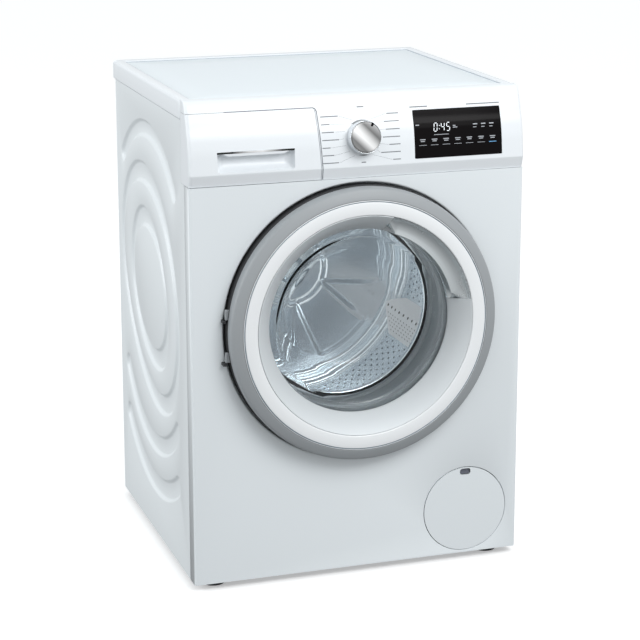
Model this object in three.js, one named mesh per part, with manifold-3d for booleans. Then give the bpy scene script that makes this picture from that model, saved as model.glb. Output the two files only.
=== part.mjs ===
// Front-loading washing machine, free standing, 848 x 598 x 590 mm over the door.
// +X is to the right seen from the front, +Y runs from the front to the back, +Z is up.
// The origin is on the floor under the middle of the outer box.
import * as THREE from 'three';
import { mergeVertices } from 'three/addons/utils/BufferGeometryUtils.js';
import Module from 'manifold-3d';

const wasm = await Module();
wasm.setup();

// ---- driving dimensions, mm ----
const WIDTH = 598;
const HEIGHT = 848;
const BODY_DEPTH = 550;
const DOOR_PROUD = 40;
const GAP = 0.4; // clearance between touching pieces
const DOOR_SIDES = 36; // facets round the door's rings
const TUB_SIDES = 24; // facets round the tub and the drum

const HALF_W = WIDTH / 2;
const PANEL_X = HALF_W - 1; // outer face of the side sheets
const FRONT = -(BODY_DEPTH - DOOR_PROUD) / 2; // plane of the front sheet
const BACK = FRONT + BODY_DEPTH;
const SHEET = 1.2;
const SHEET_BACK = BACK - 20; // rear edge of the side sheets
const BOTTOM = 12.5; // lower edge of the cabinet sheets
const TOP_Z = 815; // underside of the worktop
const SEAM_Z = 708; // between the front sheet and the control fascia
const RETURN = 31; // depth of the front sheet's side returns
const FASCIA_RETURN = 50;

const DOOR_Z = 458;
const RING_R = 238.5; // outer edge of the door
const FACE_R = 216; // outer edge of the pale ring
const CONE_R = 192.5; // inner edge of the pale ring
const GLASS_R = 162; // clear opening of the door
const RECESS_R = 242.5; // round recess in the front sheet
const RECESS_DEPTH = 22;
const COLLAR_R = 178; // hole in the recess's back wall
const HINGE_X = -244;
const HINGE_Y = FRONT - 10;
const KNUCKLES_Z = [492, 418];
const HOOK_X = 212;
const HOOK_HALF = 8; // half the hook's height
const GRIP_FROM = 14; // clock angles of the grip's ends
const GRIP_TO = 80;

const TUB_R = 252;
const TUB_FRONT = FRONT + 72;
const TUB_BACK = FRONT + 430;
const DRUM_R = 238;
const DRUM_MOUTH_R = 155;
const DRUM_FRONT = FRONT + 97;
const DRUM_BACK = FRONT + 396;
const SHAFT_R = 14;
const PULLEY_R = 135;
const MOTOR_PULLEY_R = 10;
const BELT_Y = FRONT + 490; // middle of the belt's run
const MOTOR_X = -50;
const MOTOR_Z = 118;
const MOTOR = { y0: FRONT + 330, y1: FRONT + 450, r: 58 };
const HEATER_Z = DOOR_Z - 244.5;
const PADDLES_AT = [116, 236, 356]; // clock angles of the lifting paddles
const PADDLE_SECTION = [[-39, 5], [42, 5], [-9, 44], [-18, 44]]; // across, height off the wall
const SUMP = { x: 60, y: FRONT + 260 };

const KNOB = { x: 5, y: 2.2, z: 776, r: 28.5, lean: 11.3 };
const FLAP = { x: 199.5, z: 95, r: 77.5 };
const DISPLAY = { x0: 97, x1: 257, z0: 735, z1: 816 };
const DRAWER = { x1: -72, z1: 828, trayX0: -284, trayX1: -96, back: FRONT + 275 };
const SPRING = { x: 205, y: 60, z0: 652, z1: 797 };
const DAMPER = { x: 165, y: 40 };
const CHUTE = { x: -150, y: FRONT + 250 }; // from the dispenser down to the tub
const VALVE = { x: -235, z: 765 };
const PUMP = { x: FLAP.x, z: 96, y: FRONT + 22 };
const FEET = [
  [-255, FRONT + 40], [255, FRONT + 40], [-255, SHEET_BACK - 32], [255, SHEET_BACK - 32],
];

// Outline of the fascia seen from the side: distance behind the front plane, height.
const FASCIA_LINE = [
  [2, 708.4], [-4, 728], [-3, 737], [0, 765], [5, 790], [10, 803], [14, 816],
  [21, 835], [27, 843.5], [36, HEIGHT], [FASCIA_RETURN, HEIGHT],
];

// Pressed bands of the side sheets as [distance back, height]. An arc band has the ends and
// the crown of its outer and inner edges; a ring band has four points round each edge.
const ARC_BANDS = [
  { outer: [[106, 690], [346, 776], [489, 699]], inner: [[110, 667], [335, 733], [467, 669]] },
  { outer: [[96, 240], [197, 178], [477, 273]], inner: [[120, 272], [215, 217], [468, 290]] },
  { outer: [[100, 138], [167, 104], [477, 176]], inner: [[118, 175], [184, 145], [468, 192]] },
];
const RING_BANDS = [
  {
    outer: [[85, 489], [333, 697], [500, 478], [224, 253]],
    inner: [[114, 482], [326, 655], [477, 484], [240, 293]],
  },
  {
    outer: [[160, 469], [322, 617], [427, 466], [251, 328]],
    inner: [[183, 479], [313, 577], [401, 472], [265, 368]],
  },
];

// ---- colours and finishes ----
const finish = (color, roughness, metalness = 0) => ({ color, roughness, metalness });
const WHITE_PAINT = finish(0xe2e9ed, 0.35);
const WHITE_PLASTIC = finish(0xf3f7f9, 0.4);
const GREY_PLASTIC = finish(0x9ba0a3, 0.5);
const BLACK_PLASTIC = finish(0x1c1d20, 0.5);
const BLACK_GLASS = finish(0x100e10, 0.08);
const SILVER = finish(0xc9d0d4, 0.3, 0.6);
const STEEL = finish(0xb9bec2, 0.28, 1);
const ZINC = finish(0xa2a7ab, 0.45, 0.9);
const RUBBER = finish(0x5b6066, 0.8);
const CLEAR_GLASS = finish(0xb8c6cc, 0.05);
const CONCRETE = finish(0x9a968e, 0.95);
const TUB_PLASTIC = finish(0xd9dad6, 0.6);
const ALUMINIUM = finish(0xaeb2b5, 0.4, 0.9);

const machine = new THREE.Group();

// ---- solids ----
function toSolid(geometry) {
  const bare = geometry.clone();
  bare.deleteAttribute('normal');
  bare.deleteAttribute('uv');
  const merged = mergeVertices(bare, 1e-4);
  const points = merged.attributes.position.array;
  const index = merged.index.array;
  const kept = [];
  let volume = 0;
  for (let i = 0; i < index.length; i += 3) {
    const [a, b, c] = [index[i], index[i + 1], index[i + 2]];
    if (a === b || b === c || a === c) continue;
    kept.push(a, b, c);
    const [p, q, r] = [a, b, c].map((n) => new THREE.Vector3().fromArray(points, 3 * n));
    volume += p.dot(q.cross(r));
  }
  if (volume < 0) kept.reverse();
  const mesh = new wasm.Mesh({
    numProp: 3,
    vertProperties: Float32Array.from(points),
    triVerts: Uint32Array.from(kept),
  });
  return new wasm.Manifold(mesh);
}

function toGeometry(solid) {
  const mesh = solid.getMesh();
  const geometry = new THREE.BufferGeometry();
  geometry.setAttribute('position', new THREE.BufferAttribute(mesh.vertProperties, 3));
  geometry.setIndex(new THREE.BufferAttribute(mesh.triVerts, 1));
  geometry.computeVertexNormals();
  return geometry;
}

const join = (...solids) => solids.reduce((all, one) => all.add(one));
const cut = (solid, ...tools) => tools.reduce((all, one) => all.subtract(one), solid);

function box(x0, x1, y0, y1, z0, z1) {
  const geometry = new THREE.BoxGeometry(x1 - x0, y1 - y0, z1 - z0);
  return toSolid(geometry.translate((x0 + x1) / 2, (y0 + y1) / 2, (z0 + z1) / 2));
}

// A profile of [radius, distance] points turned about the Y axis through (x, z).
function turnY(profile, x, z, segments = 36, closed = true) {
  const points = profile.map(([r, y]) => new THREE.Vector2(r, y));
  if (closed) points.push(points[0].clone());
  return toSolid(new THREE.LatheGeometry(points, segments).translate(x, 0, z));
}

// The same about a vertical axis through (x, y).
function turnZ(profile, x, y, segments = 24, closed = true) {
  const points = profile.map(([r, z]) => new THREE.Vector2(r, z));
  if (closed) points.push(points[0].clone());
  const geometry = new THREE.LatheGeometry(points, segments);
  return toSolid(geometry.rotateX(Math.PI / 2).translate(x, y, 0));
}

function rodY(r, x, y0, y1, z, segments = 24) {
  return turnY([[0, y0], [r, y0], [r, y1], [0, y1]], x, z, segments, false);
}

function rodZ(r, x, y, z0, z1, segments = 20) {
  return turnZ([[0, z0], [r, z0], [r, z1], [0, z1]], x, y, segments, false);
}

// A flat outline in X and Z pushed from y0 to y1.
function pushY(shape, y0, y1, curveSegments = 4) {
  const options = { depth: y1 - y0, bevelEnabled: false, curveSegments };
  return toSolid(new THREE.ExtrudeGeometry(shape, options).rotateX(Math.PI / 2).translate(0, y1, 0));
}

// A flat outline in Y and Z pushed from x0 to x1.
function pushX(shape, x0, x1, curveSegments = 4) {
  const options = { depth: x1 - x0, bevelEnabled: false, curveSegments };
  const geometry = new THREE.ExtrudeGeometry(shape, options);
  const turn = new THREE.Matrix4().set(0, 0, 1, x0, 1, 0, 0, 0, 0, 1, 0, 0, 0, 0, 0, 1);
  return toSolid(geometry.applyMatrix4(turn));
}

// A flat outline in X and Y pushed from z0 to z1.
function pushZ(shape, z0, z1, curveSegments = 4) {
  const options = { depth: z1 - z0, bevelEnabled: false, curveSegments };
  return toSolid(new THREE.ExtrudeGeometry(shape, options).translate(0, 0, z0));
}

function outline(points) {
  return new THREE.Shape(points.map(([a, b]) => new THREE.Vector2(a, b)));
}

function roundedRect(a0, a1, b0, b1, r) {
  const shape = new THREE.Shape();
  shape.moveTo(a0 + r, b0);
  shape.lineTo(a1 - r, b0);
  shape.absarc(a1 - r, b0 + r, r, -Math.PI / 2, 0, false);
  shape.lineTo(a1, b1 - r);
  shape.absarc(a1 - r, b1 - r, r, 0, Math.PI / 2, false);
  shape.lineTo(a0 + r, b1);
  shape.absarc(a0 + r, b1 - r, r, Math.PI / 2, Math.PI, false);
  shape.lineTo(a0, b0 + r);
  shape.absarc(a0 + r, b0 + r, r, Math.PI, 1.5 * Math.PI, false);
  return shape;
}

// A tube or rod along a smooth route.
function sweep(route, outer, inner, steps, sides) {
  const curve = new THREE.CatmullRomCurve3(route.map((p) => new THREE.Vector3(...p)));
  const options = { steps, extrudePath: curve, bevelEnabled: false, curveSegments: sides / 2 };
  const section = new THREE.Shape();
  section.absarc(0, 0, outer, 0, 2 * Math.PI, false);
  if (inner > 0) {
    const hole = new THREE.Path();
    hole.absarc(0, 0, inner, 0, 2 * Math.PI, true);
    section.holes.push(hole);
  }
  return toSolid(new THREE.ExtrudeGeometry(section, options));
}

// A wedge of the door's face between two clock angles, in degrees from the top.
function clockWedge(from, to, y0, y1) {
  const reach = 400;
  const rim = [from, (from + to) / 2, to].map((deg) => {
    const a = THREE.MathUtils.degToRad(deg);
    return [reach * Math.sin(a), DOOR_Z + reach * Math.cos(a)];
  });
  return pushY(outline([[0, DOOR_Z], ...rim]), y0, y1);
}

function addNode(name, solid, look) {
  const mesh = new THREE.Mesh(toGeometry(solid), new THREE.MeshStandardMaterial(look));
  mesh.name = name;
  machine.add(mesh);
}

// ---- cabinet ----
function baseTray() {
  const [x, y0, y1] = [PANEL_X - SHEET - 1, FRONT + 3, SHEET_BACK - 2];
  const wall = 3;
  const floorTop = BOTTOM + 5;
  const hollow = box(-x + wall, x - wall, y0 + wall, y1 - wall, floorTop, 70);
  const flapNotch = box(FLAP.x - 86, FLAP.x + 86, y0 - 1, y0 + 5, floorTop + 2, 70);
  let tray = cut(box(-x, x, y0, y1, BOTTOM, 62), hollow, flapNotch);
  for (const [fx, fy] of FEET) {
    tray = join(tray, rodZ(15, fx, fy, BOTTOM + 1, 40, 10));
    tray = cut(tray, rodZ(6.4, fx, fy, 0, 60, 10));
  }
  return tray;
}

function foot([x, y]) {
  const profile = [
    [0, 0], [21, 0], [22, 2], [22, 7], [14, 9], [14, 11.8], [5.6, 11.8], [5.6, 46], [0, 46],
  ];
  return turnZ(profile, x, y, 12, false);
}

// Moves a point away from a centre, to draw a band's wider inside.
function away([y, z], [cy, cz], grow) {
  const length = Math.hypot(y - cy, z - cz);
  return [y + grow * (y - cy) / length, z + grow * (z - cz) / length];
}

function arcBand({ outer, inner }, grow) {
  const line = ([from, crown, to]) => {
    const middle = crown.map((c, i) => 2 * c - (from[i] + to[i]) / 2);
    const [p, q, r] = [from, middle, to].map((v) => new THREE.Vector2(...v));
    return new THREE.QuadraticBezierCurve(p, q, r).getPoints(6);
  };
  const focus = [290, 470];
  const outside = line(outer.map((p) => away(p, focus, grow)));
  const inside = line(inner.map((p) => away(p, focus, -grow)));
  return outline([...outside, ...inside.reverse()].map((p) => [p.x + FRONT, p.y]));
}

function ringBand({ outer, inner }, grow) {
  const loop = (points, by) => {
    const route = points.map((p) => new THREE.Vector3(...away(p, [290, 475], by), 0));
    const curve = new THREE.CatmullRomCurve3(route, true, 'catmullrom');
    return curve.getPoints(16).slice(1).map((p) => new THREE.Vector2(p.x + FRONT, p.y));
  };
  const shape = new THREE.Shape(loop(outer, grow));
  shape.holes.push(new THREE.Path(loop(inner, -grow).reverse()));
  return shape;
}

function pressings(grow, x0, x1) {
  const shapes = [
    ...ARC_BANDS.map((band) => arcBand(band, grow)),
    ...RING_BANDS.map((band) => ringBand(band, grow)),
  ];
  return shapes.map((shape) => pushX(shape, x0, x1));
}

function sidePanel(side) {
  const y0 = FRONT + RETURN + GAP;
  const inner = PANEL_X - SHEET;
  const press = 2.5;
  let panel = join(
    box(inner, PANEL_X, y0, SHEET_BACK, BOTTOM, TOP_Z - GAP),
    box(inner - 14, inner + 0.5, y0, y0 + SHEET, 66, SEAM_Z),
    box(inner - 16, inner + 0.5, SHEET_BACK - SHEET, SHEET_BACK, 66, TOP_Z - GAP),
    box(inner - 16, inner + 0.5, y0, SHEET_BACK, TOP_Z - GAP - SHEET, TOP_Z - GAP));
  panel = join(panel, ...pressings(2, inner - press, inner + 0.5));
  panel = cut(panel, ...pressings(0, PANEL_X - press, PANEL_X + 5));
  const fasciaSpace = box(inner - 20, PANEL_X + 5, y0 - 1, FRONT + FASCIA_RETURN + GAP, SEAM_Z, TOP_Z + 5);
  panel = cut(panel, fasciaSpace);
  return side > 0 ? panel : panel.mirror([1, 0, 0]);
}

function rearPanel() {
  const y0 = SHEET_BACK + GAP;
  const shape = outline([[-290, 20], [290, 20], [290, TOP_Z - 4], [-290, TOP_Z - 4]]);
  const service = new THREE.Path();
  service.absellipse(-10, 400, 190, 205, 0, 2 * Math.PI, true);
  shape.holes.push(service);
  const sheet = pushY(shape, y0, y0 + SHEET, 12);
  const valveHole = rodY(16, VALVE.x, y0 - 2, y0 + 4, VALVE.z, 12);
  const drainHole = rodY(16, 240, y0 - 2, y0 + 4, 150, 12);
  const cordHole = box(222, 258, y0 - 2, y0 + 4, 748, 768);
  return cut(sheet, valveHole, drainHole, cordHole);
}

function rearCover() {
  const y0 = SHEET_BACK + GAP + SHEET + GAP;
  const skin = (grow) => {
    const shape = new THREE.Shape();
    shape.absellipse(-10, 400, 205 + grow, 220 + grow, 0, 2 * Math.PI, false);
    return shape;
  };
  const dome = join(pushY(skin(0), y0, y0 + 1.5, 12), pushY(skin(-20), y0, y0 + 9, 12));
  return cut(dome, pushY(skin(-22), y0 - 1, y0 + 7.5, 12));
}

function hingeNotches() {
  return KNUCKLES_Z.map((z) => box(-251, -236, FRONT - 2, FRONT + 12, z - 22, z + 12));
}

function frontPanel() {
  const sheetShape = outline([
    [-PANEL_X, BOTTOM], [PANEL_X, BOTTOM], [PANEL_X, SEAM_Z], [-PANEL_X, SEAM_Z],
  ]);
  const mouth = new THREE.Path();
  mouth.absarc(0, DOOR_Z, RECESS_R + 0.6, 0, 2 * Math.PI, true);
  const flapHole = new THREE.Path();
  flapHole.absarc(FLAP.x, FLAP.z, FLAP.r + 0.6, 0, 2 * Math.PI, true);
  sheetShape.holes.push(mouth, flapHole);
  const back = FRONT + RECESS_DEPTH;
  const recess = turnY([
    [RECESS_R, FRONT], [RECESS_R, back], [COLLAR_R, back], [COLLAR_R, back + SHEET],
    [RECESS_R + SHEET, back + SHEET], [RECESS_R + SHEET, FRONT],
  ], 0, DOOR_Z, DOOR_SIDES);
  const returns = [-1, 1].map((s) => {
    const [a, b] = [s * PANEL_X, s * (PANEL_X - SHEET)].sort((m, n) => m - n);
    return box(a, b, FRONT, FRONT + RETURN, BOTTOM, SEAM_Z);
  });
  const sides = DOOR_SIDES / 2;
  const sheet = join(pushY(sheetShape, FRONT, FRONT + SHEET, sides), recess, ...returns);
  const hookSlot = box(194, 231, back - 2, back + 4, DOOR_Z - 13, DOOR_Z + 13);
  const flapPin = box(FLAP.x - 18, FLAP.x + 18, FRONT - 2, FRONT + 4, 15, 26);
  return cut(sheet, hookSlot, flapPin, ...hingeNotches());
}

function topCrossbar() {
  const channel = box(-280, 280, SPRING.y - 18, SPRING.y + 18, 798, 812);
  return cut(channel, box(-290, 290, SPRING.y - 16, SPRING.y + 16, 790, 810));
}

function worktopFrame() {
  const y0 = FRONT + FASCIA_RETURN + GAP;
  const rim = pushZ(roundedRect(-HALF_W, HALF_W, y0, BACK, 7), TOP_Z, HEIGHT);
  const seat = box(-280, 280, y0 + 4, BACK - 24, 828, HEIGHT + 1);
  const through = box(-264, 264, y0 + 14, BACK - 38, TOP_Z - 1, 830);
  return cut(rim, seat, through);
}

function worktopBoard() {
  const y0 = FRONT + FASCIA_RETURN + GAP + 4.5;
  return box(-279.5, 279.5, y0, BACK - 24.5, 828 + GAP, HEIGHT - 2);
}

// ---- control fascia ----
function fasciaPrism(x0, x1, inset) {
  const points = FASCIA_LINE.map(([y, z], i) => {
    const [py, pz] = FASCIA_LINE[Math.max(i - 1, 0)];
    const [ny, nz] = FASCIA_LINE[Math.min(i + 1, FASCIA_LINE.length - 1)];
    const length = Math.hypot(ny - py, nz - pz);
    return [FRONT + y + inset * (nz - pz) / length, z - inset * (ny - py) / length];
  });
  points[0][1] = SEAM_Z + GAP;
  const back = FRONT + FASCIA_RETURN;
  return pushX(outline([...points, [back, points[0][1]]]), x0, x1);
}

function fasciaShell(x0, x1, leftWall, rightWall) {
  const wall = 3;
  const hollow = fasciaPrism(x0 + (leftWall ? wall : -1), x1 - (rightWall ? wall : -1), wall);
  return cut(fasciaPrism(x0, x1, 0), hollow.translate([0, 0.05, -0.05]));
}

function drawerMask(grow) {
  const corner = 6;
  const [x1, z1] = [DRAWER.x1 + grow, DRAWER.z1 + grow];
  const shape = new THREE.Shape();
  shape.moveTo(-HALF_W - 5, 700);
  shape.lineTo(x1 + 6, 700);
  shape.lineTo(x1 - 1, z1 - corner);
  shape.absarc(x1 - 1 - corner, z1 - corner, corner, 0, Math.PI / 2, false);
  shape.lineTo(-HALF_W - 5, z1);
  return pushY(shape, FRONT - 20, FRONT + FASCIA_RETURN + 5);
}

function fascia() {
  const shell = fasciaShell(-PANEL_X, PANEL_X, true, true);
  const { x0, x1, z0, z1 } = DISPLAY;
  const window = pushY(roundedRect(x0, x1, z0, z1, 3), FRONT - 20, FRONT + 40);
  const knobHole = rodY(8, KNOB.x, FRONT - 20, FRONT + 30, KNOB.z, 12);
  return cut(shell, drawerMask(0.7), window, knobHole);
}

function drawerFront() {
  const skin = fasciaShell(-PANEL_X, DRAWER.x1 + 20, true, false).intersect(drawerMask(0));
  const grip = { x0: -249, x1: -116, z0: 731, z1: 765 };
  const pocket = roundedRect(grip.x0 - 2.5, grip.x1 + 2.5, grip.z0 - 2.5, grip.z1 + 9, 6);
  const cavity = roundedRect(grip.x0, grip.x1, grip.z0, grip.z1, 8);
  const cup = pushY(pocket, FRONT - 1.5, FRONT + 24);
  const fingers = box(grip.x0 + 1, grip.x1 - 1, FRONT + 6, FRONT + 21, grip.z0 + 6, grip.z1 + 6);
  return cut(join(skin, cup), pushY(cavity, FRONT - 10, FRONT + 21), fingers);
}

function displayWindow() {
  const skin = cut(fasciaPrism(90, 264, 0), fasciaPrism(80, 270, 2.6));
  const { x0, x1, z0, z1 } = DISPLAY;
  const pane = roundedRect(x0 + GAP, x1 - GAP, z0 + GAP, z1 - GAP, 3);
  return skin.intersect(pushY(pane, FRONT - 20, FRONT + 22));
}

function controlModule() {
  const y0 = FRONT + 19;
  const body = box(-45, 268, y0, y0 + 26, 722, 800);
  const open = box(-42, 265, y0 + 3, y0 + 30, 725, 797);
  const encoder = rodY(4, KNOB.x, FRONT + 15, FRONT + 21, KNOB.z - 2.5, 10);
  return join(cut(body, open), encoder);
}

// The knob stands square to the leaning fascia: it is made at the origin and tipped back.
function programKnob() {
  const profile = [
    [0, -18.5], [24, -18.5], [26, -17], [KNOB.r, -3], [KNOB.r - 2, -1], [23, -14.5],
    [5.4, -14.5], [5.4, 11], [0, 11],
  ];
  const pointer = box(-3, 3, -20, -17.5, 17, 26).rotate([0, 30, 0]);
  const knob = join(turnY(profile, 0, 0, 24, false), pointer);
  return knob.rotate([-KNOB.lean, 0, 0]).translate([KNOB.x, FRONT + KNOB.y, KNOB.z]);
}

// ---- dispenser ----
function dispenserHousing() {
  const [x0, x1] = [DRAWER.trayX0 - 6, DRAWER.trayX1 + 4];
  const outer = box(x0, x1, FRONT + 27, DRAWER.back + 8, 714, 797);
  const inner = box(x0 + 2.5, x1 - 2.5, FRONT + 20, DRAWER.back + 5.5, 716.5, 794.5);
  const inlet = box(-200, -170, DRAWER.back + 7, DRAWER.back + 24, 775, 791);
  const outlet = rodZ(13, CHUTE.x, CHUTE.y, 700, 715, 14);
  const drain = rodZ(10.5, CHUTE.x, CHUTE.y, 690, 720, 14);
  return cut(join(cut(outer, inner), inlet, outlet), drain);
}

function drawerTray() {
  const { trayX0: x0, trayX1: x1, back } = DRAWER;
  const y0 = FRONT + 24 + GAP;
  const [z0, z1] = [719.5, 772];
  const wall = 2.5;
  const thirds = [x0 + 78, x0 + 118];
  const cells = [
    box(x0 + wall, thirds[0] - wall / 2, y0 + 6, back - wall, z0 + wall, z1 + 1),
    box(thirds[0] + wall / 2, thirds[1] - wall / 2, y0 + 6, back - wall, z0 + 12, z1 + 1),
    box(thirds[1] + wall / 2, x1 - wall, y0 + 6, back - wall, z0 + wall, z1 + 1),
  ];
  return cut(box(x0, x1, y0, back, z0, z1), ...cells);
}

function inletValve() {
  const { x, z } = VALVE;
  const y = SHEET_BACK;
  return join(
    box(x - 18, x + 18, y - 44, y - 2, z - 22, z + 22),
    rodY(15, x, y - 4, y + 4, z, 16),
    rodY(13, x, y, BACK - 2, z, 16),
    rodZ(12, x, y - 24, z + 20, z + 30, 14));
}

function cordInlet() {
  const y = SHEET_BACK + GAP;
  return join(box(223, 257, y - 12, y + 4, 749, 767), box(218, 262, y + SHEET + GAP, y + 9, 744, 772));
}

// ---- service flap and pump ----
function filterFlap() {
  const { x, z, r } = FLAP;
  const disc = rodY(r, x, FRONT, FRONT + 2.5, z, 32);
  const slot = pushY(roundedRect(x - 10, x + 10, 158.6, 170, 5), FRONT - 5, FRONT + 9);
  const knuckle = box(x - 15, x + 15, FRONT - 0.8, FRONT + 2.5, z - r + 0.1, z - r + 3);
  return cut(join(disc, knuckle), slot);
}

function drainPump() {
  const { x, y, z } = PUMP;
  const sleeve = turnY([[31, y + 6], [31, y + 70], [36, y + 70], [36, y + 6]], x, z, 24);
  const back = rodY(36, x, y + 69, y + 74, z, 24);
  const motor = box(x - 27, x + 27, y + 73, y + 128, z - 27, z + 27);
  const leg = box(x - 30, x + 30, y + 20, y + 120, 18, 40);
  const saddle = box(x - 12, x + 12, y + 20, y + 120, 38, z - 34);
  const inlet = rodZ(15, x, y + 45, z + 33, z + 52, 16);
  const bore = rodZ(12, x, y + 45, z + 20, z + 60, 16);
  const spigot = box(x + 34, x + 58, y + 40, y + 56, z - 8, z + 8);
  return join(cut(join(sleeve, inlet), bore), back, motor, saddle, leg, spigot);
}

function pumpFilter() {
  const { x, y, z } = PUMP;
  const knob = rodY(35, x, y - 2, y + 5, z, 24);
  const grip = box(x - 4, x + 4, y - 15, y, z - 26, z + 26);
  const plug = rodY(30, x, y + 4, y + 26, z, 24);
  const strainer = turnY([[22, y + 25], [22, y + 38], [18, y + 38], [18, y + 25]], x, z, 16);
  return join(knob, grip, plug, strainer);
}

// ---- door ----
function doorOuterRing() {
  const ring = turnY([
    [RING_R, FRONT + 10], [RING_R, FRONT - 28.5], [236.5, FRONT - 32], [226, FRONT - 36.5],
    [FACE_R + GAP, FRONT - 39.6], [FACE_R + GAP, FRONT - 35], [234.5, FRONT - 28.5],
    [235.5, FRONT + 10],
  ], 0, DOOR_Z, DOOR_SIDES);
  const notches = KNUCKLES_Z.map((z) => box(-250, -226, FRONT - 17, FRONT + 12, z - 22, z + 12));
  return cut(ring, ...notches);
}

function doorFaceRing() {
  return turnY([
    [FACE_R, FRONT - 39.6], [204, FRONT - DOOR_PROUD], [CONE_R + GAP, FRONT - 39],
    [CONE_R + GAP, FRONT - 34.5], [FACE_R, FRONT - 34.5],
  ], 0, DOOR_Z, DOOR_SIDES);
}

function doorInnerCone() {
  const cone = turnY([
    [CONE_R, FRONT - 38], [GLASS_R, FRONT], [GLASS_R, FRONT + 3], [166, FRONT + 3],
    [CONE_R, FRONT - 33],
  ], 0, DOOR_Z, DOOR_SIDES);
  return cut(cone, clockWedge(GRIP_FROM, GRIP_TO, FRONT - 60, FRONT + 20));
}

function doorGrip() {
  const section = turnY([
    [CONE_R - 0.2, FRONT - 38], [188.5, FRONT - 28], [178, FRONT - 22.5], [164.5, FRONT - 23.5],
    [163, FRONT - 21.5], [165, FRONT - 19.5], [178, FRONT - 18.5], [186, FRONT - 20.5],
    [187.5, FRONT - 2], [GLASS_R, FRONT - 2], [GLASS_R, FRONT + 3], [190.5, FRONT + 3],
    [CONE_R - 0.2, FRONT - 30],
  ], 0, DOOR_Z, DOOR_SIDES);
  const trim = 0.15;
  const sector = section.intersect(clockWedge(GRIP_FROM + trim, GRIP_TO - trim, FRONT - 60, FRONT + 20));
  const ends = [GRIP_FROM + trim, GRIP_TO - trim - 1].map((deg) => {
    const slab = clockWedge(deg, deg + 1, FRONT - 22, FRONT + 3);
    const fill = turnY([
      [166, FRONT - 20], [186, FRONT - 22], [188, FRONT], [166, FRONT],
    ], 0, DOOR_Z, DOOR_SIDES);
    return fill.intersect(slab);
  });
  return join(sector, ...ends);
}

function doorGlass() {
  const y = FRONT + 3 + GAP;
  return turnY([
    [0, y + 92], [112, y + 92], [124, y + 84], [140, y + 26], [150, y + 4], [175, y + 4],
    [175, y], [147, y], [136, y + 25], [120, y + 81], [110, y + 88], [0, y + 88],
  ], 0, DOOR_Z, 32, false);
}

function doorBackFrame() {
  const y = FRONT + 8;
  const frame = turnY([
    [153, y], [235.2, y + 2.6], [235.2, y + 7.5], [153, y + 7.5],
  ], 0, DOOR_Z, DOOR_SIDES);
  const hookHole = box(199, 224, y - 2, y + 12, DOOR_Z - 12, DOOR_Z + 12);
  const armSeats = KNUCKLES_Z.map((z) => box(-240, -222, y - 2, y + 12, z - 22, z + 12));
  return cut(frame, hookHole, ...armSeats);
}

function doorHingeArm() {
  const plate = box(-221.6, -218, FRONT - 14, FRONT + 7, 396, 506);
  const arms = KNUCKLES_Z.map((z) => {
    const lug = box(HINGE_X, -219, HINGE_Y - 4, HINGE_Y + 4, z - 9, z + 9);
    const knuckle = rodZ(5, HINGE_X, HINGE_Y, z - 9, z + 9, 16);
    return cut(join(lug, knuckle), rodZ(2.7, HINGE_X, HINGE_Y, z - 12, z + 12, 12));
  });
  return join(plate, ...arms);
}

function hingeBracket() {
  const plate = box(-262, -257, FRONT + 2, FRONT + 30, 380, 520);
  const lugs = KNUCKLES_Z.map((z) => {
    const arm = box(-258, -250, FRONT + 2, FRONT + 10, z - 20, z - 10);
    const nose = box(-251, -239.5, HINGE_Y - 4, FRONT + 10, z - 19, z - 10);
    const pin = rodZ(2.4, HINGE_X, HINGE_Y, z - 12, z + 8, 12);
    return join(arm, nose, pin);
  });
  return join(plate, ...lugs);
}

function doorHook() {
  const y = FRONT + 6;
  const [z0, z1] = [DOOR_Z - HOOK_HALF, DOOR_Z + HOOK_HALF];
  const shank = box(HOOK_X - 5, HOOK_X + 3, y - 4, FRONT + 46, z0, z1);
  const nose = box(HOOK_X, HOOK_X + 9, FRONT + 37, FRONT + 46, z0, z1);
  const pivot = rodZ(5, HOOK_X, y - 6, DOOR_Z - 11, DOOR_Z + 11, 12);
  return join(shank, nose, pivot);
}

function doorLock() {
  const y = FRONT + RECESS_DEPTH + SHEET + GAP;
  const body = box(191, 250, y, y + 32, DOOR_Z - 45, DOOR_Z + 45);
  const mouth = box(193.5, 234, y - 1, y + 27, DOOR_Z - 14, DOOR_Z + 14);
  const keeper = box(229, 235, y + 3, y + 9, DOOR_Z - 14.5, DOOR_Z + 14.5);
  return join(cut(body, mouth), keeper);
}

// ---- bellows between the cabinet and the tub ----
function doorGasket() {
  const y = FRONT;
  const neck = COLLAR_R - 1.4;
  return turnY([
    [160, y + 18], [186, y + 17.5], [186, y + 21.4], [neck, y + 21.6], [neck, y + 26],
    [186, y + 36], [176, y + 48], [184, y + 60], [171, y + 67], [171, y + 84], [167, y + 84],
    [166, y + 66], [178, y + 59], [169, y + 48], [179, y + 37], [169, y + 25], [160, y + 21],
  ], 0, DOOR_Z, 24);
}

// ---- tub and what hangs on it ----
function tubFront() {
  const y = TUB_FRONT;
  return turnY([
    [173, y - 4], [173, y + 14], [177, y + 14], [177, y + 8], [242, y + 8], [TUB_R, y + 18],
    [TUB_R, y + 150], [TUB_R + 9, y + 150], [TUB_R + 4, y + 142], [TUB_R + 4, y + 12],
    [244, y + 2], [177, y + 2], [177, y - 4],
  ], 0, DOOR_Z, TUB_SIDES);
}

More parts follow.
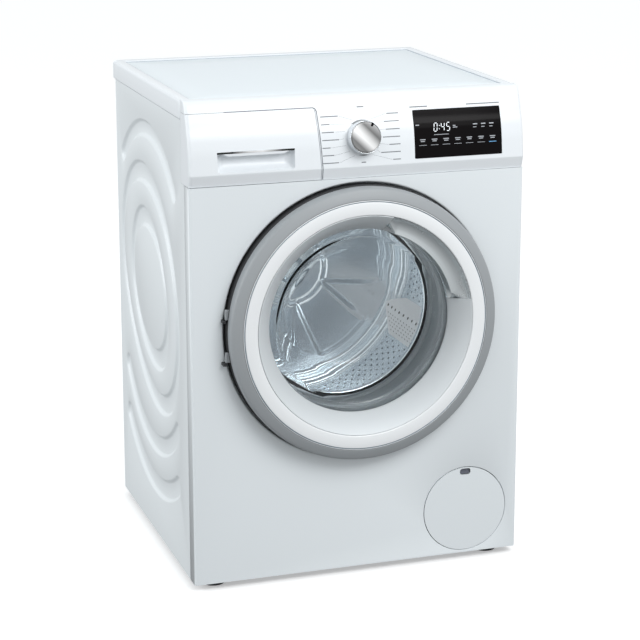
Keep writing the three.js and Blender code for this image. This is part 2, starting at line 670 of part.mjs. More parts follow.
function tubRear() {
  const y0 = TUB_FRONT + 150 + GAP;
  const shell = turnY([
    [TUB_R, y0], [TUB_R, TUB_BACK - 18], [80, TUB_BACK - 12], [32, TUB_BACK - 18],
    [32, TUB_BACK + 2], [26.5, TUB_BACK + 2], [26.5, TUB_BACK + 22], [44, TUB_BACK + 22],
    [80, TUB_BACK - 4], [TUB_R + 4, TUB_BACK - 12], [TUB_R + 4, y0 + 8], [TUB_R + 9, y0],
  ], 0, DOOR_Z, TUB_SIDES);
  const lug = (x, y, deep, z0, z1) => box(x - 10, x + 10, y - deep, y + deep, z0, z1);
  const hooks = [-1, 1].map((s) => lug(s * SPRING.x, SPRING.y, 5, DOOR_Z + 120, SPRING.z0 - 5));
  const feet = [-1, 1].map((s) => lug(s * DAMPER.x, DAMPER.y, 14, 232, DOOR_Z - 180));
  const sump = rodZ(20, SUMP.x, SUMP.y, 190, 216, 20);
  const motorEars = [10, 80].map((dy) => lug(MOTOR_X, MOTOR.y0 + dy, 6, MOTOR_Z + 60, 216));
  const heaterHole = box(-33, 33, TUB_BACK - 40, TUB_BACK + 10, HEATER_Z - 7, HEATER_Z + 7);
  const sumpBore = rodZ(16, SUMP.x, SUMP.y, 180, 240, 20);
  const chuteStub = rodZ(13, CHUTE.x, CHUTE.y, 655, 678, 12);
  const chuteBore = rodZ(10.5, CHUTE.x, CHUTE.y, 640, 690, 12);
  const inside = rodY(TUB_R - 0.5, 0, y0 + 5, TUB_BACK - 22, DOOR_Z, TUB_SIDES);
  const extras = cut(join(...hooks, ...feet, sump, ...motorEars, chuteStub), inside);
  return cut(join(shell, extras), heaterHole, sumpBore, chuteBore);
}

function frontCounterweight() {
  const y = TUB_FRONT - 26;
  const ring = turnY([[202, y], [202, y + 23], [250, y + 23], [250, y]], 0, DOOR_Z, TUB_SIDES);
  const upper = box(-300, 300, y - 5, y + 30, DOOR_Z + 40, DOOR_Z + 300);
  const lockSpace = box(184, 300, y - 5, y + 10, DOOR_Z - 60, DOOR_Z + 60);
  return cut(ring, upper, lockSpace);
}

function topCounterweight() {
  const block = box(-75, 235, FRONT + 92, FRONT + 215, 640, 778);
  return cut(block, rodY(TUB_R + 10, 0, FRONT, FRONT + 300, DOOR_Z, TUB_SIDES));
}

function heater() {
  const y0 = TUB_FRONT + 60;
  const rods = [-22, 22].map((x) => rodY(3.5, x, y0, TUB_BACK + 8, HEATER_Z, 10));
  const bend = box(-22, 22, y0 - 3.5, y0 + 3.5, HEATER_Z - 3.5, HEATER_Z + 3.5);
  const block = box(-32, 32, TUB_BACK - 20, TUB_BACK + 8, HEATER_Z - 6, HEATER_Z + 6);
  return join(...rods, bend, block);
}

function motor() {
  const { y0, y1, r } = MOTOR;
  const can = rodY(r, MOTOR_X, y0, y1, MOTOR_Z, 28);
  const neck = rodY(18, MOTOR_X, y1 - 2, y1 + 12, MOTOR_Z, 20);
  return cut(join(can, neck), rodY(6, MOTOR_X, y1 - 30, y1 + 20, MOTOR_Z, 16));
}

function motorPulley() {
  const y = BELT_Y;
  return turnY([
    [0, MOTOR.y1 - 26], [5.6, MOTOR.y1 - 26], [5.6, y - 9], [13, y - 9], [13, y - 7.5],
    [MOTOR_PULLEY_R, y - 7], [MOTOR_PULLEY_R, y + 7], [13, y + 7.5], [13, y + 9], [0, y + 9],
  ], MOTOR_X, MOTOR_Z, 24, false);
}

// The belt's outline: the outer tangents of the two pulleys, grown by some distance.
function beltOutline(grow) {
  const big = PULLEY_R + grow;
  const small = MOTOR_PULLEY_R + grow;
  const [dx, dz] = [MOTOR_X, MOTOR_Z - DOOR_Z];
  const lean = Math.acos((big - small) / Math.hypot(dx, dz));
  const down = Math.atan2(dz, dx);
  const shape = new THREE.Shape();
  shape.absarc(0, DOOR_Z, big, down + lean, down - lean + 2 * Math.PI, false);
  shape.absarc(MOTOR_X, MOTOR_Z, small, down - lean, down + lean, false);
  return shape;
}

function driveBelt() {
  const loop = pushY(beltOutline(3.4), BELT_Y - 6, BELT_Y + 6, 14);
  return cut(loop, pushY(beltOutline(0.4), BELT_Y - 8, BELT_Y + 8, 14));
}

function bearing(y, bore, outer, width) {
  return turnY([[bore, y], [bore, y + width], [outer, y + width], [outer, y]], 0, DOOR_Z, 24);
}

// ---- drum ----
function drum() {
  const [y0, y1] = [DRUM_FRONT, DRUM_BACK];
  return turnY([
    [DRUM_MOUTH_R, y0 + 3], [DRUM_MOUTH_R + 5, y0 - 1], [225, y0 + 2], [DRUM_R, y0 + 16],
    [DRUM_R, y1], [150, y1], [130, y1 - 8], [20, y1 - 8], [20, y1 - 10], [129, y1 - 10],
    [150, y1 - 2], [DRUM_R - 1.5, y1 - 2], [DRUM_R - 1.5, y0 + 17], [224, y0 + 4],
    [DRUM_MOUTH_R + 3, y0 + 4],
  ], 0, DOOR_Z, TUB_SIDES);
}

function paddle(clock) {
  const wall = DRUM_R - 3;
  const section = outline(PADDLE_SECTION.map(([across, height]) => [across, wall - height]));
  const bar = pushY(section, DRUM_FRONT + 20, DRUM_BACK - 12);
  const bore = rodY(DRUM_R - 2.2, 0, DRUM_FRONT, DRUM_BACK, 0, 40);
  const inDrum = bar.intersect(bore.rotate([0, -clock, 0]));
  return inDrum.rotate([0, clock, 0]).translate([0, 0, DOOR_Z]);
}

function drumSpider() {
  const y = DRUM_BACK;
  const arm = (deg) => box(-16, 16, y + GAP, y + 7, 10, 205).rotate([0, deg, 0]);
  const shaft = turnY([
    [0, y - 7.5], [18, y - 7.5], [40, y + GAP], [40, y + 7], [SHAFT_R + 3, y + 10],
    [SHAFT_R, TUB_BACK - 19],
    [SHAFT_R, TUB_BACK + 5.5], [11, TUB_BACK + 5.5], [11, BELT_Y + 12], [0, BELT_Y + 12],
  ], 0, 0, 24, false);
  return join(shaft, arm(28), arm(148), arm(268)).translate([0, 0, DOOR_Z]);
}

function drumPulley() {
  const y = BELT_Y;
  const disc = turnY([
    [11.4, y - 14], [11.4, y + 10], [22, y + 10], [22, y + 3], [122, y + 3], [124, y + 7.5],
    [PULLEY_R, y + 7.5], [PULLEY_R, y - 7.5], [124, y - 7.5], [122, y - 2], [22, y - 2], [22, y - 14],
  ], 0, 0, 24);
  const windows = [0, 60, 120, 180, 240, 300].map((deg) => (
    rodY(27, 0, y - 5, y + 6, 78, 8).rotate([0, deg, 0])));
  return cut(disc, ...windows).translate([0, 0, DOOR_Z]);
}

// ---- suspension and hoses ----
function spring(side) {
  const { x, y, z0, z1 } = SPRING;
  const [coilR, wire, turns] = [12, 2.2, 7];
  const low = z0 + 14;
  const high = z1 - 14;
  const route = [[side * x, y, z0 - 4], [side * x, y, z0 + 6]];
  for (let i = 0; i <= turns * 6; i += 1) {
    const a = 2 * Math.PI * i / 6;
    const z = low + (high - low) * i / (turns * 6);
    route.push([side * x + coilR * Math.cos(a), y + coilR * Math.sin(a), z]);
  }
  route.push([side * x, y, z1 - 6], [side * x, y, z1 - 1]);
  return sweep(route, wire, 0, turns * 7, 4);
}

function damperCylinder(side) {
  const { x, y } = DAMPER;
  const tube = cut(rodZ(15, side * x, y, 22, 150, 16), rodZ(7, side * x, y, 40, 160, 14));
  return join(tube, box(side * x - 9, side * x + 9, y - 12, y + 12, 18, 30));
}

function damperRod(side) {
  const { x, y } = DAMPER;
  const eye = box(side * x - 7, side * x + 7, y - 10, y + 10, 218, 232 - GAP);
  return join(rodZ(5.5, side * x, y, 62, 222, 12), eye);
}

function sumpHose() {
  const { x, y, z } = PUMP;
  const top = z + 52 + 1;
  return sweep([
    [SUMP.x, SUMP.y, 189], [SUMP.x, SUMP.y, 180], [SUMP.x + 36, SUMP.y - 50, 164],
    [x - 20, y + 80, 172], [x, y + 45, top + 12], [x, y + 45, top],
  ], 17, 13, 9, 10);
}

function dispenserHose() {
  return turnZ([
    [11, 679], [15, 679], [15, 683], [18, 688], [15, 693], [15, 699], [11, 699], [11, 693],
    [14, 688], [11, 683],
  ], CHUTE.x, CHUTE.y, 12);
}

// ---- assembly ----
addNode('base_tray', baseTray(), GREY_PLASTIC);
FEET.forEach((place, i) => addNode(`foot_${i + 1}`, foot(place), BLACK_PLASTIC));
addNode('side_panel_left', sidePanel(-1), WHITE_PAINT);
addNode('side_panel_right', sidePanel(1), WHITE_PAINT);
addNode('rear_panel', rearPanel(), ZINC);
addNode('rear_cover', rearCover(), ZINC);
addNode('front_panel', frontPanel(), WHITE_PAINT);
addNode('top_crossbar', topCrossbar(), ZINC);
addNode('worktop_frame', worktopFrame(), WHITE_PLASTIC);
addNode('worktop_board', worktopBoard(), WHITE_PAINT);
addNode('fascia', fascia(), WHITE_PLASTIC);
addNode('display_window', displayWindow(), BLACK_GLASS);
addNode('control_module', controlModule(), GREY_PLASTIC);
addNode('program_knob', programKnob(), SILVER);
addNode('dispenser_housing', dispenserHousing(), TUB_PLASTIC);
addNode('drawer_front', drawerFront(), WHITE_PLASTIC);
addNode('drawer_tray', drawerTray(), WHITE_PLASTIC);
addNode('inlet_valve', inletValve(), GREY_PLASTIC);
addNode('cord_inlet', cordInlet(), BLACK_PLASTIC);
addNode('filter_flap', filterFlap(), WHITE_PLASTIC);
addNode('drain_pump', drainPump(), GREY_PLASTIC);
addNode('pump_filter', pumpFilter(), GREY_PLASTIC);
addNode('door_outer_ring', doorOuterRing(), GREY_PLASTIC);
addNode('door_face_ring', doorFaceRing(), WHITE_PLASTIC);
addNode('door_inner_cone', doorInnerCone(), SILVER);
addNode('door_grip', doorGrip(), SILVER);
addNode('door_glass', doorGlass(), CLEAR_GLASS);
addNode('door_back_frame', doorBackFrame(), GREY_PLASTIC);
addNode('door_hinge_arm', doorHingeArm(), ZINC);
addNode('hinge_bracket', hingeBracket(), ZINC);
addNode('door_hook', doorHook(), ZINC);
addNode('door_lock', doorLock(), BLACK_PLASTIC);
addNode('door_gasket', doorGasket(), RUBBER);
addNode('tub_front', tubFront(), TUB_PLASTIC);
addNode('tub_rear', tubRear(), TUB_PLASTIC);
addNode('counterweight_front', frontCounterweight(), CONCRETE);
addNode('counterweight_top', topCounterweight(), CONCRETE);
addNode('heater', heater(), STEEL);
addNode('motor', motor(), ALUMINIUM);
addNode('motor_pulley', motorPulley(), STEEL);
addNode('drive_belt', driveBelt(), RUBBER);
addNode('bearing_front', bearing(TUB_BACK - 17, SHAFT_R + GAP, 31.6, 12), STEEL);
addNode('bearing_rear', bearing(TUB_BACK + 6, 11 + GAP, 26.1, 12), STEEL);
addNode('drum', drum(), STEEL);
PADDLES_AT.forEach((clock, i) => addNode(`drum_paddle_${i + 1}`, paddle(clock), TUB_PLASTIC));
addNode('drum_spider', drumSpider(), ALUMINIUM);
addNode('drum_pulley', drumPulley(), ALUMINIUM);
addNode('spring_left', spring(-1), STEEL);
addNode('spring_right', spring(1), STEEL);
addNode('damper_cylinder_left', damperCylinder(-1), GREY_PLASTIC);
addNode('damper_cylinder_right', damperCylinder(1), GREY_PLASTIC);
addNode('damper_rod_left', damperRod(-1), STEEL);
addNode('damper_rod_right', damperRod(1), STEEL);
addNode('sump_hose', sumpHose(), RUBBER);
addNode('dispenser_hose', dispenserHose(), RUBBER);

export default machine;
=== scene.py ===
# %% [markdown]
# A front-loading washing machine, dressed for the camera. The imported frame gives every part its
# place and its motion. This script gives the parts their finished shapes and their surfaces.
# %% Load the frame
import bisect
import math
import bmesh
import bpy
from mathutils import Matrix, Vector
from mathutils.geometry import delaunay_2d_cdt


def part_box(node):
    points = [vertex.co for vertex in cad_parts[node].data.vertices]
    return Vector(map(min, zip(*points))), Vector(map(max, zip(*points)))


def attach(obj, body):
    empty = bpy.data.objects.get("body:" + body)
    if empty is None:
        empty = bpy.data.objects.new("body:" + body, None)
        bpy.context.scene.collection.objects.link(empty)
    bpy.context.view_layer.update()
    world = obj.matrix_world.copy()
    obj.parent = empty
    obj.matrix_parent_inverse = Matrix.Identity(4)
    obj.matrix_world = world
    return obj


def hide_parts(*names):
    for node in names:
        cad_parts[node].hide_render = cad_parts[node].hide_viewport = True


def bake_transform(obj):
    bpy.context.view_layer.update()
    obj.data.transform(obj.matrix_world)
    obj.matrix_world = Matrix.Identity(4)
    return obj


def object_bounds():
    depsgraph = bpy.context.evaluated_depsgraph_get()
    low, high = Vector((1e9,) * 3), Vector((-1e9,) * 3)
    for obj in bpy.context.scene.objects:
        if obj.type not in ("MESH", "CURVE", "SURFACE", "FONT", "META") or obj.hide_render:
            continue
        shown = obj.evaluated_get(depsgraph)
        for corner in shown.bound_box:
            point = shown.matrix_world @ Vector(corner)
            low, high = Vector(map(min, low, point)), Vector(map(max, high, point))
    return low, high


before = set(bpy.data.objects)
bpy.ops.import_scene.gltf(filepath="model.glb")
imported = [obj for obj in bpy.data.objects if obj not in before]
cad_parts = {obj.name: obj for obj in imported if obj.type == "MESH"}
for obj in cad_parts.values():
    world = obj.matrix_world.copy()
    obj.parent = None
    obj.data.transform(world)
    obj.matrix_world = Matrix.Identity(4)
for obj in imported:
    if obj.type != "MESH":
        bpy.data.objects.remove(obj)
CAD_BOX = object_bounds()
MM = 0.001
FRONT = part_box("front_panel")[0].y
DOOR_LOW, DOOR_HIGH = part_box("door_outer_ring")
DOOR_Z = (DOOR_LOW.z + DOOR_HIGH.z) / 2 / MM
PANEL_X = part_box("front_panel")[1].x / MM
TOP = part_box("worktop_frame")[1].z / MM
TOP_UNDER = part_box("worktop_frame")[0].z / MM
BODY_BACK = (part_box("worktop_frame")[1].y - FRONT) / MM
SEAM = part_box("front_panel")[1].z / MM
print("box", [round(c, 3) for c in (*CAD_BOX[0], *CAD_BOX[1])], "door centre height", round(DOOR_Z, 1))

# %% [markdown]
# Every number below is in millimetres: x from the middle, y back from the front sheet, z up from
# the floor. One function turns such a point into the frame's metres.
# %% Places
def at(x, y, z):
    return Vector((x * MM, FRONT + y * MM, z * MM))


# %% [markdown]
# The machine stands in a pale studio, and the camera stands to its left, a little above its lid,
# with a long lens. A lens that is shifted upwards keeps the machine's upright edges nearly upright.
# %% Camera
camera_data = bpy.data.cameras.new("camera")
camera_data.sensor_width = 36
camera_data.lens = 114.94
camera_data.shift_x, camera_data.shift_y = -0.0117, -0.1
camera_data.clip_end = 50
camera = bpy.data.objects.new("camera", camera_data)
bpy.context.scene.collection.objects.link(camera)
camera.location = at(-1125.4, -3183.5, 1378.9)
YAW, PITCH = 0.3234, -0.2344
aim = Vector((math.sin(YAW) * math.cos(PITCH), math.cos(YAW) * math.cos(PITCH), math.sin(PITCH)))
camera.rotation_euler = aim.to_track_quat("-Z", "Y").to_euler()
bpy.context.scene.camera = camera
bpy.context.scene.view_settings.view_transform = "Standard"
print("camera", [round(c, 3) for c in camera.location])


# %% [markdown]
# Four soft lamps light it: a big key lamp in front, a small one that lifts the control panel's
# brow, a weak one overhead, and a fill from the left for the side sheet. The sky is paler above
# than below. The camera alone sees it as plain white paper, so it lights and reflects as a room
# does but leaves a clean background.
# %% Lamps and sky
def lamp(name, place, target, size, power, tint=(1, 1, 1)):
    data = bpy.data.lights.new(name, "AREA")
    data.shape = "RECTANGLE"
    data.size, data.size_y = size
    data.energy = power
    data.color = tint
    item = bpy.data.objects.new(name, data)
    item.location = place
    item.rotation_euler = (Vector(target) - Vector(place)).to_track_quat("-Z", "Y").to_euler()
    bpy.context.scene.collection.objects.link(item)


lamp("key", (0.9, -2.3, 2.6), (0, 0, 0.6), (1.8, 1.4), 41)
lamp("brow", (0.4, -2.0, 1.6), (0, -0.2, 0.75), (1.2, 0.6), 4.5)
lamp("overhead", (-0.6, -0.2, 3.2), (0, 0, 0), (2.8, 2.8), 2, (0.98, 0.99, 1.0))
lamp("left_fill", (-3.2, 0.3, 1.6), (0, 0, 0.5), (1.6, 2.0), 44, (0.97, 0.99, 1.0))

world = bpy.data.worlds.new("studio")
world.use_nodes = True
bpy.context.scene.world = world
tree = world.node_tree
tree.nodes.clear()
way = tree.nodes.new("ShaderNodeTexCoord")
axes = tree.nodes.new("ShaderNodeSeparateXYZ")
height = tree.nodes.new("ShaderNodeMapRange")
height.inputs["From Min"].default_value = -1
shade = tree.nodes.new("ShaderNodeValToRGB")
shade.color_ramp.elements[0].color = (0.16, 0.17, 0.18, 1)
shade.color_ramp.elements[1].color = (0.68, 0.71, 0.725, 1)
SKY_TONES = ((0.40, 0.42), (0.50, 0.86), (0.60, 0.90))
for spot, grey in SKY_TONES:
    shade.color_ramp.elements.new(spot).color = (grey * 0.97, grey * 0.99, grey, 1)
sky = tree.nodes.new("ShaderNodeBackground")
sky.inputs["Strength"].default_value = 0.92
paper = tree.nodes.new("ShaderNodeBackground")
paper.inputs["Color"].default_value = (1, 1, 1, 1)
path = tree.nodes.new("ShaderNodeLightPath")
mix = tree.nodes.new("ShaderNodeMixShader")
out = tree.nodes.new("ShaderNodeOutputWorld")
tree.links.new(way.outputs["Generated"], axes.inputs[0])
tree.links.new(axes.outputs["Z"], height.inputs["Value"])
tree.links.new(height.outputs["Result"], shade.inputs["Fac"])
tree.links.new(shade.outputs["Color"], sky.inputs["Color"])
tree.links.new(path.outputs["Is Camera Ray"], mix.inputs[0])
tree.links.new(sky.outputs[0], mix.inputs[1])
tree.links.new(paper.outputs[0], mix.inputs[2])
tree.links.new(mix.outputs[0], out.inputs[0])

# %% [markdown]
# Three effects are shared by many finishes, so each is one node group. Fine grain gives paint its
# orange peel and plastic its tooth. Wear and dust shift the colour and the gloss a little from
# place to place. Brushing draws fine lines, as a polishing belt leaves on steel.
# %% Node groups
def new_group(name, inputs, outputs):
    group = bpy.data.node_groups.new(name, "ShaderNodeTree")
    for label, kind, value in inputs:
        socket = group.interface.new_socket(label, in_out="INPUT", socket_type=kind)
        socket.default_value = value
    for label, kind in outputs:
        group.interface.new_socket(label, in_out="OUTPUT", socket_type=kind)
    return group, group.nodes.new("NodeGroupInput"), group.nodes.new("NodeGroupOutput")


def fine_grain_group():
    group, source, sink = new_group(
        "fine_grain",
        [("Scale", "NodeSocketFloat", 900.0), ("Strength", "NodeSocketFloat", 0.05)],
        [("Normal", "NodeSocketVector")])
    place = group.nodes.new("ShaderNodeTexCoord")
    noise = group.nodes.new("ShaderNodeTexNoise")
    noise.inputs["Detail"].default_value = 2
    bump = group.nodes.new("ShaderNodeBump")
    bump.inputs["Distance"].default_value = 0.0004
    group.links.new(place.outputs["Object"], noise.inputs["Vector"])
    group.links.new(source.outputs["Scale"], noise.inputs["Scale"])
    group.links.new(noise.outputs["Fac"], bump.inputs["Height"])
    group.links.new(source.outputs["Strength"], bump.inputs["Strength"])
    group.links.new(bump.outputs["Normal"], sink.inputs["Normal"])
    return group


def wear_group():
    group, source, sink = new_group(
        "wear_and_dust",
        [("Color", "NodeSocketColor", (1, 1, 1, 1)), ("Worn", "NodeSocketColor", (0.5, 0.5, 0.5, 1)),
         ("Amount", "NodeSocketFloat", 0.06), ("Roughness", "NodeSocketFloat", 0.4),
         ("Spread", "NodeSocketFloat", 0.08), ("Scale", "NodeSocketFloat", 9.0)],
        [("Color", "NodeSocketColor"), ("Roughness", "NodeSocketFloat")])
    place = group.nodes.new("ShaderNodeTexCoord")
    noise = group.nodes.new("ShaderNodeTexNoise")
    noise.inputs["Detail"].default_value = 5
    noise.inputs["Roughness"].default_value = 0.6
    amount = group.nodes.new("ShaderNodeMath")
    amount.operation = "MULTIPLY"
    blend = group.nodes.new("ShaderNodeMix")
    blend.data_type = "RGBA"
    spread = group.nodes.new("ShaderNodeMath")
    spread.operation = "MULTIPLY_ADD"
    group.links.new(place.outputs["Object"], noise.inputs["Vector"])
    group.links.new(source.outputs["Scale"], noise.inputs["Scale"])
    group.links.new(noise.outputs["Fac"], amount.inputs[0])
    group.links.new(source.outputs["Amount"], amount.inputs[1])
    group.links.new(amount.outputs[0], blend.inputs["Factor"])
    group.links.new(source.outputs["Color"], blend.inputs["A"])
    group.links.new(source.outputs["Worn"], blend.inputs["B"])
    group.links.new(noise.outputs["Fac"], spread.inputs[0])
    group.links.new(source.outputs["Spread"], spread.inputs[1])
    group.links.new(source.outputs["Roughness"], spread.inputs[2])
    group.links.new(blend.outputs["Result"], sink.inputs["Color"])
    group.links.new(spread.outputs[0], sink.inputs["Roughness"])
    return group


def brushed_group():
    group, source, sink = new_group(
        "brushed",
        [("Along", "NodeSocketVector", (1, 1, 60)), ("Scale", "NodeSocketFloat", 30.0),
         ("Strength", "NodeSocketFloat", 0.1)],
        [("Normal", "NodeSocketVector")])
    place = group.nodes.new("ShaderNodeTexCoord")
    stretch = group.nodes.new("ShaderNodeVectorMath")
    stretch.operation = "MULTIPLY"
    noise = group.nodes.new("ShaderNodeTexNoise")
    noise.inputs["Detail"].default_value = 3
    bump = group.nodes.new("ShaderNodeBump")
    bump.inputs["Distance"].default_value = 0.0003
    group.links.new(place.outputs["Object"], stretch.inputs[0])
    group.links.new(source.outputs["Along"], stretch.inputs[1])
    group.links.new(stretch.outputs[0], noise.inputs["Vector"])
    group.links.new(source.outputs["Scale"], noise.inputs["Scale"])
    group.links.new(noise.outputs["Fac"], bump.inputs["Height"])
    group.links.new(source.outputs["Strength"], bump.inputs["Strength"])
    group.links.new(bump.outputs["Normal"], sink.inputs["Normal"])
    return group


FINE_GRAIN = fine_grain_group()
WEAR = wear_group()
BRUSHED = brushed_group()
print("groups", [g.name for g in (FINE_GRAIN, WEAR, BRUSHED)])


# %% [markdown]
# A finish is one Principled surface. What is the same all over it is set on its own sockets. What
# changes over the surface comes from the groups. Little light reaches the drum through the glass,
# so its steel, the paddles and the bellows also glow a little, as the floor sheet does.
# %% Finishes
def finish(name, color, rough, metal=0.0, worn=None, amount=0.08, grain=None, brush=None, coat=0.0,
           glow=None, specular=0.5, spread=0.06):
    material = bpy.data.materials.new(name)
    material.use_nodes = True
    tree = material.node_tree
    skin = tree.nodes["Principled BSDF"]
    skin.inputs["Metallic"].default_value = metal
    skin.inputs["Coat Weight"].default_value = coat
    skin.inputs["Coat Roughness"].default_value = 0.12
    skin.inputs["Specular IOR Level"].default_value = specular
    wear = tree.nodes.new("ShaderNodeGroup")
    wear.node_tree = WEAR
    wear.inputs["Color"].default_value = (*color, 1)
    wear.inputs["Worn"].default_value = (*(worn or [c * 0.86 for c in color]), 1)
    wear.inputs["Amount"].default_value = amount
    wear.inputs["Roughness"].default_value = rough
    wear.inputs["Spread"].default_value = spread
    tree.links.new(wear.outputs["Color"], skin.inputs["Base Color"])
    tree.links.new(wear.outputs["Roughness"], skin.inputs["Roughness"])
    if grain:
        node = tree.nodes.new("ShaderNodeGroup")
        node.node_tree = FINE_GRAIN
        node.inputs["Scale"].default_value = grain[0]
        node.inputs["Strength"].default_value = grain[1]
        tree.links.new(node.outputs["Normal"], skin.inputs["Normal"])
    if brush:
        node = tree.nodes.new("ShaderNodeGroup")
        node.node_tree = BRUSHED
        node.inputs["Along"].default_value = brush[0]
        node.inputs["Strength"].default_value = brush[1]
        tree.links.new(node.outputs["Normal"], skin.inputs["Normal"])
    if glow:
        skin.inputs["Emission Color"].default_value = (*color, 1)
        skin.inputs["Emission Strength"].default_value = glow
    return material


enamel = finish("white_enamel", (0.80, 0.845, 0.87), 0.32, grain=(1400, 0.05), coat=0.25, amount=0.05)
side_enamel = finish("side_enamel", (0.78, 0.82, 0.84), 0.38, grain=(1200, 0.07), coat=0.15, amount=0.05)
board_laminate = finish("board_laminate", (0.78, 0.84, 0.875), 0.30, grain=(700, 0.10), amount=0.05)
white_plastic = finish("white_plastic", (0.81, 0.845, 0.875), 0.30, grain=(1600, 0.03), coat=0.2,
                       amount=0.03)
ring_white = finish("ring_white", (0.88, 0.90, 0.915), 0.22, grain=(1500, 0.02), coat=0.3, amount=0.03)
ring_grey = finish("ring_grey", (0.33, 0.35, 0.365), 0.42, grain=(1800, 0.05), amount=0.08)
silver_lacquer = finish("silver_lacquer", (0.72, 0.755, 0.775), 0.55, 0.20, grain=(2600, 0.04),
                        amount=0.05)
grip_lacquer = finish("grip_lacquer", (0.66, 0.70, 0.715), 0.24, 0.6, grain=(2200, 0.02), amount=0.04)
chrome = finish("chrome", (0.82, 0.84, 0.86), 0.10, 1.0, amount=0.04)
black_gloss = finish("black_gloss", (0.005, 0.004, 0.0045), 0.10, grain=(500, 0.01), specular=0.06,
                     spread=0.03)
trim_blue = finish("trim_blue_grey", (0.20, 0.26, 0.31), 0.3, amount=0.05, grain=(900, 0.02))
stainless = finish("stainless", (0.56, 0.60, 0.635), 0.20, 1.0, brush=((70, 1, 70), 0.10), amount=0.10)
drum_steel = finish("drum_steel", (0.74, 0.785, 0.82), 0.20, 1.0, brush=((6, 60, 6), 0.07), amount=0.12,
                    glow=0.08)
back_steel = finish("back_steel", (0.68, 0.72, 0.755), 0.15, 0.95, brush=((40, 3, 3), 0.02), amount=0.10,
                    glow=0.07)
hole_dark = finish("hole_dark", (0.012, 0.014, 0.016), 0.7, grain=(900, 0.1))
paddle_grey = finish("paddle_grey", (0.66, 0.67, 0.68), 0.42, grain=(1500, 0.08), glow=0.35)
rubber = finish("gasket_rubber", (0.21, 0.23, 0.245), 0.42, grain=(1100, 0.14), amount=0.2,
                worn=(0.2, 0.21, 0.22), specular=0.6, glow=0.15)
belt_rubber = finish("belt_rubber", (0.02, 0.02, 0.021), 0.65, grain=(1500, 0.2))
black_plastic = finish("black_plastic", (0.018, 0.018, 0.02), 0.5, grain=(1500, 0.12))
grey_plastic = finish("grey_plastic", (0.30, 0.315, 0.325), 0.5, grain=(1300, 0.12))
tub_plastic = finish("tub_plastic", (0.70, 0.71, 0.69), 0.55, grain=(1000, 0.15), amount=0.15)
zinc = finish("zinc_sheet", (0.52, 0.54, 0.555), 0.36, 0.9, grain=(350, 0.10), amount=0.35,
              worn=(0.36, 0.38, 0.40))
cast_alloy = finish("cast_alloy", (0.50, 0.51, 0.525), 0.45, 0.9, grain=(900, 0.3), amount=0.25)
mineral = finish("cast_mineral", (0.34, 0.32, 0.29), 0.9, grain=(260, 0.6), amount=0.5,
                 worn=(0.2, 0.19, 0.17))
spring_steel = finish("spring_steel", (0.30, 0.31, 0.33), 0.35, 0.95, grain=(900, 0.1), amount=0.3)
seam_grey = finish("seam_grey", (0.13, 0.14, 0.17), 0.5, grain=(900, 0.02))
seam_pale = finish("seam_pale", (0.36, 0.42, 0.47), 0.5, grain=(900, 0.02))
# Painted shade: zinc coloured near black for the hinge bracket, so its shelves show as the dark notches under
# the knuckles.
hinge_painted_shade = finish("hinge_painted_shade", (0.05, 0.052, 0.056), 0.45, 0.4, grain=(900, 0.1))
print_grey = finish("print_grey", (0.16, 0.175, 0.19), 0.5, grain=(900, 0.02))
screen_white = finish("screen_white", (0.78, 0.82, 0.85), 0.4, glow=0.35, grain=(900, 0.01))
screen_dim = finish("screen_dim", (0.38, 0.40, 0.43), 0.4, glow=0.10, grain=(900, 0.01))
screen_blue = finish("screen_blue", (0.16, 0.42, 0.72), 0.4, glow=0.30, grain=(900, 0.01))


# %% [markdown]
# Two polished pieces carry painted reflections: a painted glint on the plated strip over the finger pocket,
# and a painted highlight streak on the brushed face of the knob. The painted grey comes from how far along
# one direction a point lies.
# %% Painted reflections
def toned(name, way, start, end, tones, rough, metal):
    """A finish with painted light: its grey follows the given tones from start to end, measured along a
    direction.
    """
    material = finish(name, (0.5, 0.5, 0.5), rough, metal, grain=(600, 0.01), spread=0.02)
    tree = material.node_tree
    place = tree.nodes.new("ShaderNodeTexCoord")
    along = tree.nodes.new("ShaderNodeVectorMath")
    along.operation = "DOT_PRODUCT"
    along.inputs[1].default_value = way
    span = tree.nodes.new("ShaderNodeMapRange")
    span.inputs["From Min"].default_value = start
    span.inputs["From Max"].default_value = end
    ramp = tree.nodes.new("ShaderNodeValToRGB")
    ramp.color_ramp.elements[0].color = (*[tones[0][1]] * 3, 1)
    ramp.color_ramp.elements[1].color = (*[tones[-1][1]] * 3, 1)
    for spot, grey in tones[1:-1]:
        ramp.color_ramp.elements.new(spot).color = (grey, grey, grey, 1)
    tree.links.new(place.outputs["Object"], along.inputs[0])
    tree.links.new(along.outputs["Value"], span.inputs["Value"])
    tree.links.new(span.outputs["Result"], ramp.inputs["Fac"])
    tree.links.new(ramp.outputs["Color"], tree.nodes["Principled BSDF"].inputs["Base Color"])
    return material


# The plated strip's reflection is painted as grey along x: black at both ends, bright in the middle.
STRIP_GLINT_TONES = ((0, 0.004), (0.20, 0.006), (0.40, 0.62), (0.58, 0.85), (0.72, 0.42), (0.84, 0.006),
               (1, 0.004))
strip_painted_glint = toned("strip_painted_glint", (1, 0, 0), -0.2495, -0.1155, STRIP_GLINT_TONES, 0.16, 0.0)
# The knob face's highlight is painted as grey along a diagonal: a bright streak between darker sides.
KNOB_HIGHLIGHT_TONES = ((0, 0.30), (0.22, 0.17), (0.46, 0.85), (0.56, 0.72), (0.80, 0.14), (1, 0.36))
knob_painted_highlight = toned("knob_painted_highlight", (0.7071, 0, 0.7071), 0.526, 0.5786, KNOB_HIGHLIGHT_TONES, 0.30, 0.35)

